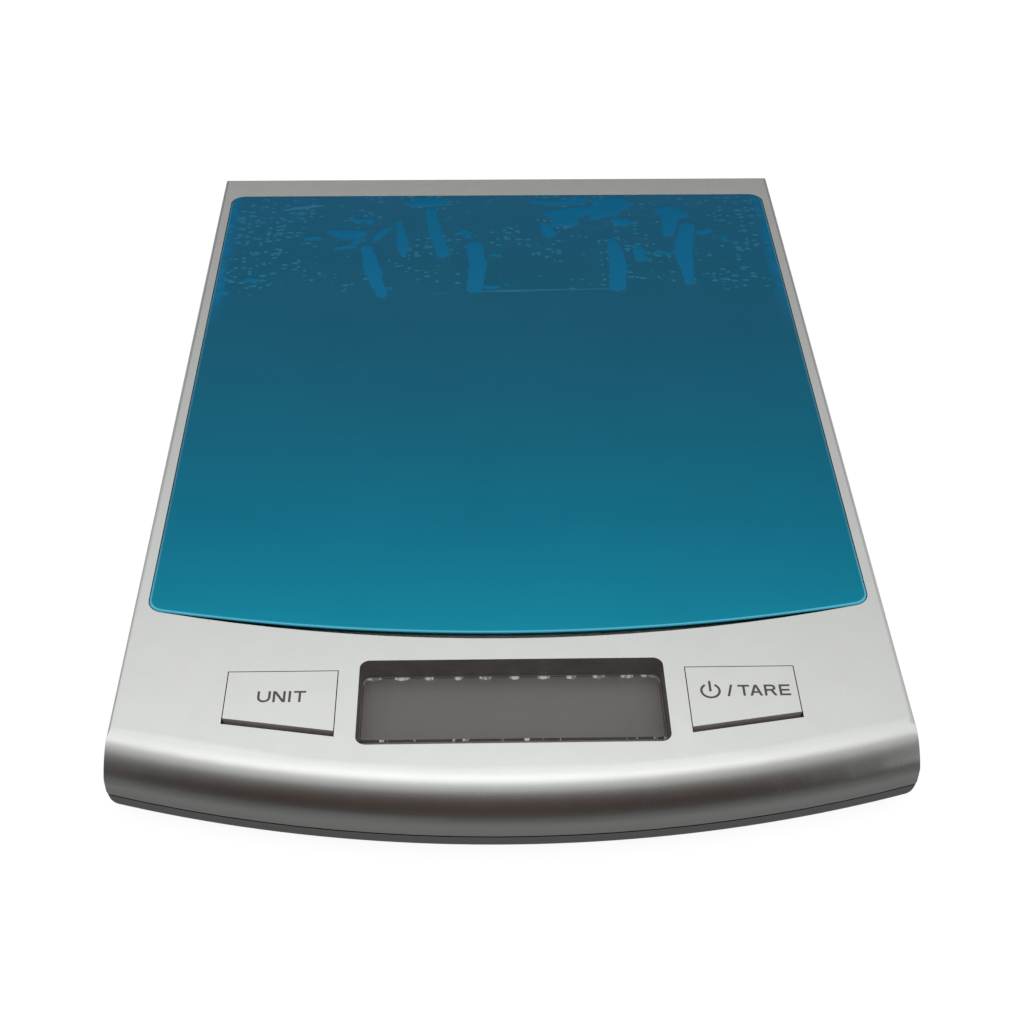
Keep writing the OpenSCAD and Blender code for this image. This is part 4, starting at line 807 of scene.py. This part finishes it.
def make_film():
    """The blue film: smooth over the plate's edge, with raised glue marks near the rear."""
    rows = [ROWS_SHARE * i / ROWS_COARSE for i in range(ROWS_COARSE)]
    rows += [ROWS_SHARE + (1 - ROWS_SHARE) * i / ROWS_FINE for i in range(ROWS_FINE + 1)]
    low = FILM_TOP - FILM_SKIRT
    outer = quarter(-FILM_OVER, EDGE_ROUND + FILM_OVER, FILM_TOP, 6) + [(0, low)]
    inner = [(i, z) for i, z in reversed(quarter(FILM_T, EDGE_ROUND - FILM_T, FILM_TOP - FILM_T))]
    film = sheet_over_edge("blue_film_sheet", columns(EDGE_ROUND, FILM_STEP), rows, EDGE_ROUND, FILM_TOP,
                           outer + [(FILM_T, low)] + inner, film_reach)
    mesh = film.data
    co = np.zeros(len(mesh.vertices) * 3)
    mesh.vertices.foreach_get("co", co)
    co = co.reshape(-1, 3)
    x, y = co[:, 0] / MM, co[:, 1] / MM
    glue = -distance_to(GLUE, x, y)
    crease = -distance_to(CREASES, x, y)
    top = co[:, 2] > (FILM_TOP - 0.001) * MM
    # Where the painted highlight runs down the film's side, and how strong it is towards the front
    side = (co[:, 2] < (FILM_TOP - RIM_TOP) * MM) & (co[:, 2] > (FILM_TOP - RIM_LOW) * MM)
    near = np.clip((-y - RIM_FRONT) / RIM_SPAN, RIM_LEAST, 1)
    raised = np.clip(glue / GLUE_SLOPE + 0.5, 0, 1)
    co[top, 2] -= GLUE_RISE * MM * (1 - raised[top])
    mesh.vertices.foreach_set("co", co.ravel())
    for name, field in (("glue", glue), ("crease", crease), ("rim", side * near)):
        layer = mesh.attributes.new(name, "FLOAT", "POINT")
        layer.data.foreach_set("value", np.clip(field, -FIELD_END, FIELD_END).astype(np.float32))
    mesh.shade_smooth()
    mesh.set_sharp_from_angle(angle=math.radians(FILM_SHARP))
    dress(film, "platform", "platform_film", "blue_film")


def make_plate():
    """The steel plate: a shallow pan with rounded edges, under the film."""
    top = PLATE_HIGH.z
    low = PLATE_LOW.z
    out = FILM_T + FILM_GAP
    profile = quarter(out, EDGE_ROUND - out, top) + [(out, low), (PLATE_T, low), (PLATE_T, top - PLATE_T)]
    rows = [i / PLATE_ROWS for i in range(PLATE_ROWS + 1)]
    plate = sheet_over_edge("steel_plate_pressing", columns(EDGE_ROUND, PLATE_STEP), rows, EDGE_ROUND,
                            top, profile)
    plate.data.shade_smooth()
    plate.data.set_sharp_from_angle(angle=math.radians(PLATE_SHARP))
    dress(plate, "platform", "platform_plate", "platform_steel")


def arc(x, y, radius, start, end, steps=12):
    turns = [math.radians(start + (end - start) * k / steps) for k in range(steps + 1)]
    return [(x + radius * math.cos(a), y + radius * math.sin(a)) for a in turns]


def make_display_film():
    """The clear film on the display, just above its face."""
    low, high = (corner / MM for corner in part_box("display_film"))
    right, left = high.x - DISPLAY_CORNER, low.x + DISPLAY_CORNER
    rear, front = high.y - DISPLAY_CORNER, low.y + DISPLAY_CORNER
    outline = []
    for quadrant, centre in enumerate(((right, rear), (left, rear), (left, front), (right, front))):
        outline += arc(*centre, DISPLAY_CORNER, 90 * quadrant, 90 * quadrant + 90)
    bm = bmesh.new()
    levels = (low.z + DISPLAY_LIFT, high.z)
    rings = [[bm.verts.new(Vector((x, y, z)) * MM) for x, y in outline] for z in levels]
    bm.faces.new(rings[0][::-1])
    bm.faces.new(rings[1])
    for i in range(len(outline)):
        bm.faces.new((rings[0][i - 1], rings[0][i], rings[1][i], rings[1][i - 1]))
    film = obj_from_bmesh("display_film_sheet", bm)
    dress(film, NODES["display_film"]["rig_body"], "display_film", "clear_film")


def letter_u(w, h, s):
    r = w / 2
    return [[(0, h)] + arc(r, r, r, 180, 360) + [(w, h), (w - s, h)] + arc(r, r, r - s, 360, 180) + [(s, h)]]


def letter_n(w, h, s):
    d = 1.25 * s
    low = h * s / (w - d)
    return [[(0, 0), (0, h), (d, h), (w - s, low), (w - s, h), (w, h), (w, 0), (w - d, 0), (s, h - low),
             (s, 0)]]


def letter_i(w, h, s):
    return [[(0, 0), (0, h), (s, h), (s, 0)]]


def letter_t(w, h, s):
    a, b = (w - s) / 2, (w + s) / 2
    return [[(0, h), (w, h), (w, h - s), (b, h - s), (b, 0), (a, 0), (a, h - s), (0, h - s)]]


def letter_a(w, h, s):
    foot, bar, peak = 1.12 * s, 0.25 * h, h - 1.35 * s
    lean = (w / 2 - foot) / peak
    roof = bar + 0.9 * s
    outline = [(0, 0), (w / 2 - 0.6 * s, h), (w / 2 + 0.6 * s, h), (w, 0), (w - foot, 0),
               (w - foot - lean * bar, bar), (foot + lean * bar, bar), (foot, 0)]
    return [outline, [(foot + lean * roof, roof), (w - foot - lean * roof, roof), (w / 2, peak)]]


def letter_r(w, h, s):
    low = 0.43 * h
    r = (h - low) / 2
    x = w - 0.2 - r
    leg = 0.5 * w
    outline = [(0, 0), (0, h)] + arc(x, h - r, r, 90, -90) + [(leg + 1.2 * s, low), (w, 0), (w - 1.2 * s, 0),
                                                              (leg, low), (s, low), (s, 0)]
    return [outline, [(s, h - s)] + arc(x, h - r, r - s, 90, -90) + [(s, low + s)]]


def letter_e(w, h, s):
    mid, arm = h / 2, 0.93 * w
    return [[(0, 0), (0, h), (w, h), (w, h - s), (s, h - s), (s, mid + s / 2), (arm, mid + s / 2),
             (arm, mid - s / 2), (s, mid - s / 2), (s, s), (w, s), (w, 0)]]


def slash(w, h, s):
    return [[(0, 0), (w - s, h), (w, h), (s, 0)]]


def power_mark(w, h, s):
    """An open ring with a bar through its gap; its width and height are the ring's."""
    r = w / 2
    left, right, low, high = r - s / 2, r + s / 2, r - BAR_LOW, w + BAR_HIGH
    ring = arc(r, r, r, RING_START, RING_END, 40) + arc(r, r, r - s, RING_END, RING_START, 40)
    return [ring, [(left, low), (left, high), (right, high), (right, low)]]


def print_on_key(name, body, key, marks, base):
    """Printed marks on a key's top: (drawing, x, drop below the base line, width, height) each."""
    curve = bpy.data.curves.new(name, "CURVE")
    curve.dimensions = "2D"
    curve.fill_mode = "BOTH"
    curve.extrude = INK_T / 2 * MM
    for drawing, x, drop, width, height in marks:
        for outline in drawing(width, height, STROKE):
            spline = curve.splines.new("POLY")
            spline.points.add(len(outline) - 1)
            spline.use_cyclic_u = True
            for point, (px, py) in zip(spline.points, outline):
                point.co = ((x + px) * MM, (base - drop + py) * MM, 0, 1)
    piece = bpy.data.objects.new(name, curve)
    SCENE.collection.objects.link(piece)
    piece.location.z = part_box(key)[1].z + INK_T / 2 * MM
    curve.materials.append(LOOKS["ink"])
    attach(piece, body)


def shown_white(tree):
    """1 for the rays that show the plain white background: those of the camera, also through glass."""
    path = add_node(tree, "ShaderNodeLightPath").outputs
    return add_maths(tree, "MAXIMUM", path["Is Camera Ray"], path["Is Transmission Ray"])


def make_stage():
    """A pale floor. In glossy paint it is pale beside the object and dim towards the front, with a dip of
    painted contact shadow just ahead of it.
    """
    bpy.ops.mesh.primitive_plane_add(size=FLOOR_SIZE)
    floor = bpy.context.object
    floor.name = "floor"
    look = bpy.data.materials.new("floor")
    look.use_nodes = True
    tree = look.node_tree
    tree.nodes.clear()
    place = add_node(tree, "ShaderNodeTexCoord").outputs["Object"]
    centre = (0, (COVER_BOW - COVER_LENGTH + COVER_HIGH.y) * MM, 0)
    offset = add_node(tree, "ShaderNodeVectorMath", {0: place, 1: centre}, operation="SUBTRACT").outputs[0]
    reach = add_node(tree, "ShaderNodeVectorMath", {0: offset}, operation="LENGTH").outputs["Value"]
    ahead = add_maths(tree, "SUBTRACT", reach, COVER_BOW * MM)
    levels = add_ramp(tree, ahead, [(at * MM, (level,) * 3) for at, level in FLOOR_LEVELS])
    mirrored = add_node(tree, "ShaderNodeEmission", {"Color": levels}).outputs[0]
    dim = add_node(tree, "ShaderNodeBsdfDiffuse", {"Color": (FLOOR_DIM,) * 3 + (1,)}).outputs[0]
    glow = add_node(tree, "ShaderNodeEmission", {"Strength": FLOOR_GLOW}).outputs[0]
    pale = add_node(tree, "ShaderNodeAddShader", {0: dim, 1: glow}).outputs[0]
    glossy = add_node(tree, "ShaderNodeLightPath").outputs["Is Glossy Ray"]
    unseen = add_node(tree, "ShaderNodeMixShader", {0: glossy, 1: dim, 2: mirrored}).outputs[0]
    both = add_node(tree, "ShaderNodeMixShader", {0: shown_white(tree), 1: unseen, 2: pale}).outputs[0]
    add_node(tree, "ShaderNodeOutputMaterial", {"Surface": both})
    floor.data.materials.append(look)


def make_light():
    """World light by direction: its colour by the angle from straight behind, over the top to the front."""
    world = bpy.data.worlds.new("studio")
    SCENE.world = world
    world.use_nodes = True
    tree = world.node_tree
    tree.nodes.clear()
    direction = add_node(tree, "ShaderNodeTexCoord").outputs["Generated"]
    x, y = add_node(tree, "ShaderNodeSeparateXYZ", {"Vector": direction}).outputs[:2]
    levels = add_ramp(tree, add_maths(tree, "ARCCOSINE", y),
                      [(math.radians(at), colour) for at, colour in DOME_LEVELS])
    lost = add_maths(tree, "MULTIPLY", x, add_maths(tree, "MULTIPLY_ADD", x, SIDE_FALL, SIDE_LEAN))
    held = add_maths(tree, "MAXIMUM", add_maths(tree, "SUBTRACT", 1.0, lost), SIDE_LEAST)
    aside = add_maths(tree, "ABSOLUTE", add_maths(tree, "ADD", x, WING_SHIFT))
    sided = add_mix(tree, 1.0, levels, held, "MULTIPLY")
    full = add_mix(tree, 1.0, sided, add_ramp(tree, aside, WING_LEVELS), "LIGHTEN")
    dome = add_node(tree, "ShaderNodeBackground", {"Color": full, "Strength": DOME_STRENGTH}).outputs[0]
    white = add_node(tree, "ShaderNodeBackground", {"Color": (1, 1, 1, 1), "Strength": 1.0}).outputs[0]
    both = add_node(tree, "ShaderNodeMixShader", {0: shown_white(tree), 1: dome, 2: white}).outputs[0]
    add_node(tree, "ShaderNodeOutputWorld", {"Surface": both})


def make_fill():
    """A soft fill from the front, for matt surfaces only."""
    data = bpy.data.lights.new("fill", "SUN")
    data.energy = FILL_STRENGTH
    data.angle = math.radians(FILL_SOFT)
    fill = bpy.data.objects.new("fill", data)
    SCENE.collection.objects.link(fill)
    fill.rotation_euler = (math.radians(FILL_TILT), 0, 0)
    fill.visible_glossy = False


def make_camera():
    pitch, yaw, roll = (math.radians(a) for a in (CAMERA_DOWN, CAMERA_YAW, CAMERA_ROLL))
    ahead = Vector((math.sin(yaw) * math.cos(pitch), math.cos(yaw) * math.cos(pitch), -math.sin(pitch)))
    right = Vector((math.cos(yaw), -math.sin(yaw), 0))
    up = right.cross(ahead)
    across = right * math.cos(roll) + up * math.sin(roll)
    upward = up * math.cos(roll) - right * math.sin(roll)
    data = bpy.data.cameras.new("camera")
    data.sensor_width = SENSOR_MM
    data.lens = FOCAL_PIXELS / PHOTO_PIXELS * SENSOR_MM
    camera = bpy.data.objects.new("camera", data)
    SCENE.collection.objects.link(camera)
    place = Matrix((across, upward, -ahead)).transposed().to_4x4()
    place.translation = Vector(CAMERA_PLACE) * MM
    camera.matrix_world = place
    SCENE.camera = camera


make_camera()
make_light()
make_fill()
make_stage()
SCENE.view_settings.view_transform = "Standard"

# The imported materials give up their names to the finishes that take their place
for material in list(bpy.data.materials):
    material.name = PACKED + material.name
LOOKS = make_looks()
for packed in NODES.values():
    for slot in packed.material_slots:
        slot.material = LOOKS[slot.material.name.removeprefix(PACKED)]

make_film()
make_plate()
make_display_film()
soften("top_cover", EDGE_RECESS, 3, bare=inside_cover, rounding=cover_rounding)
soften("base_pan", EDGE_PAN, angle=PAN_TURN, weighted=False)
soften("unit_button", EDGE_KEY, bare=below_key_top, bare_look="key_side")
soften("tare_button", EDGE_KEY, bare=below_key_top, bare_look="key_side")
soften("battery_door", EDGE_DOOR)
print_on_key("unit_legend", "unit_key", "unit_button", [
    (letter_u, -51.55, 0, 2.7, CAP_HEIGHT), (letter_n, -48.4, 0, 2.55, CAP_HEIGHT),
    (letter_i, -45.25, 0, 0.5, CAP_HEIGHT), (letter_t, -44.2, 0, 2.45, CAP_HEIGHT)], UNIT_BASE)
print_on_key("tare_legend", "tare_key", "tare_button", [
    (power_mark, 38.13, 0.6, 4.2, 4.2), (slash, 43.55, 0.05, 1.3, 3.15),
    (letter_t, 45.85, 0, 2.4, CAP_HEIGHT), (letter_a, 48.2, 0, 2.6, CAP_HEIGHT),
    (letter_r, 51.2, 0, 2.55, CAP_HEIGHT), (letter_e, 54.25, 0, 2.25, CAP_HEIGHT)], TARE_BASE)
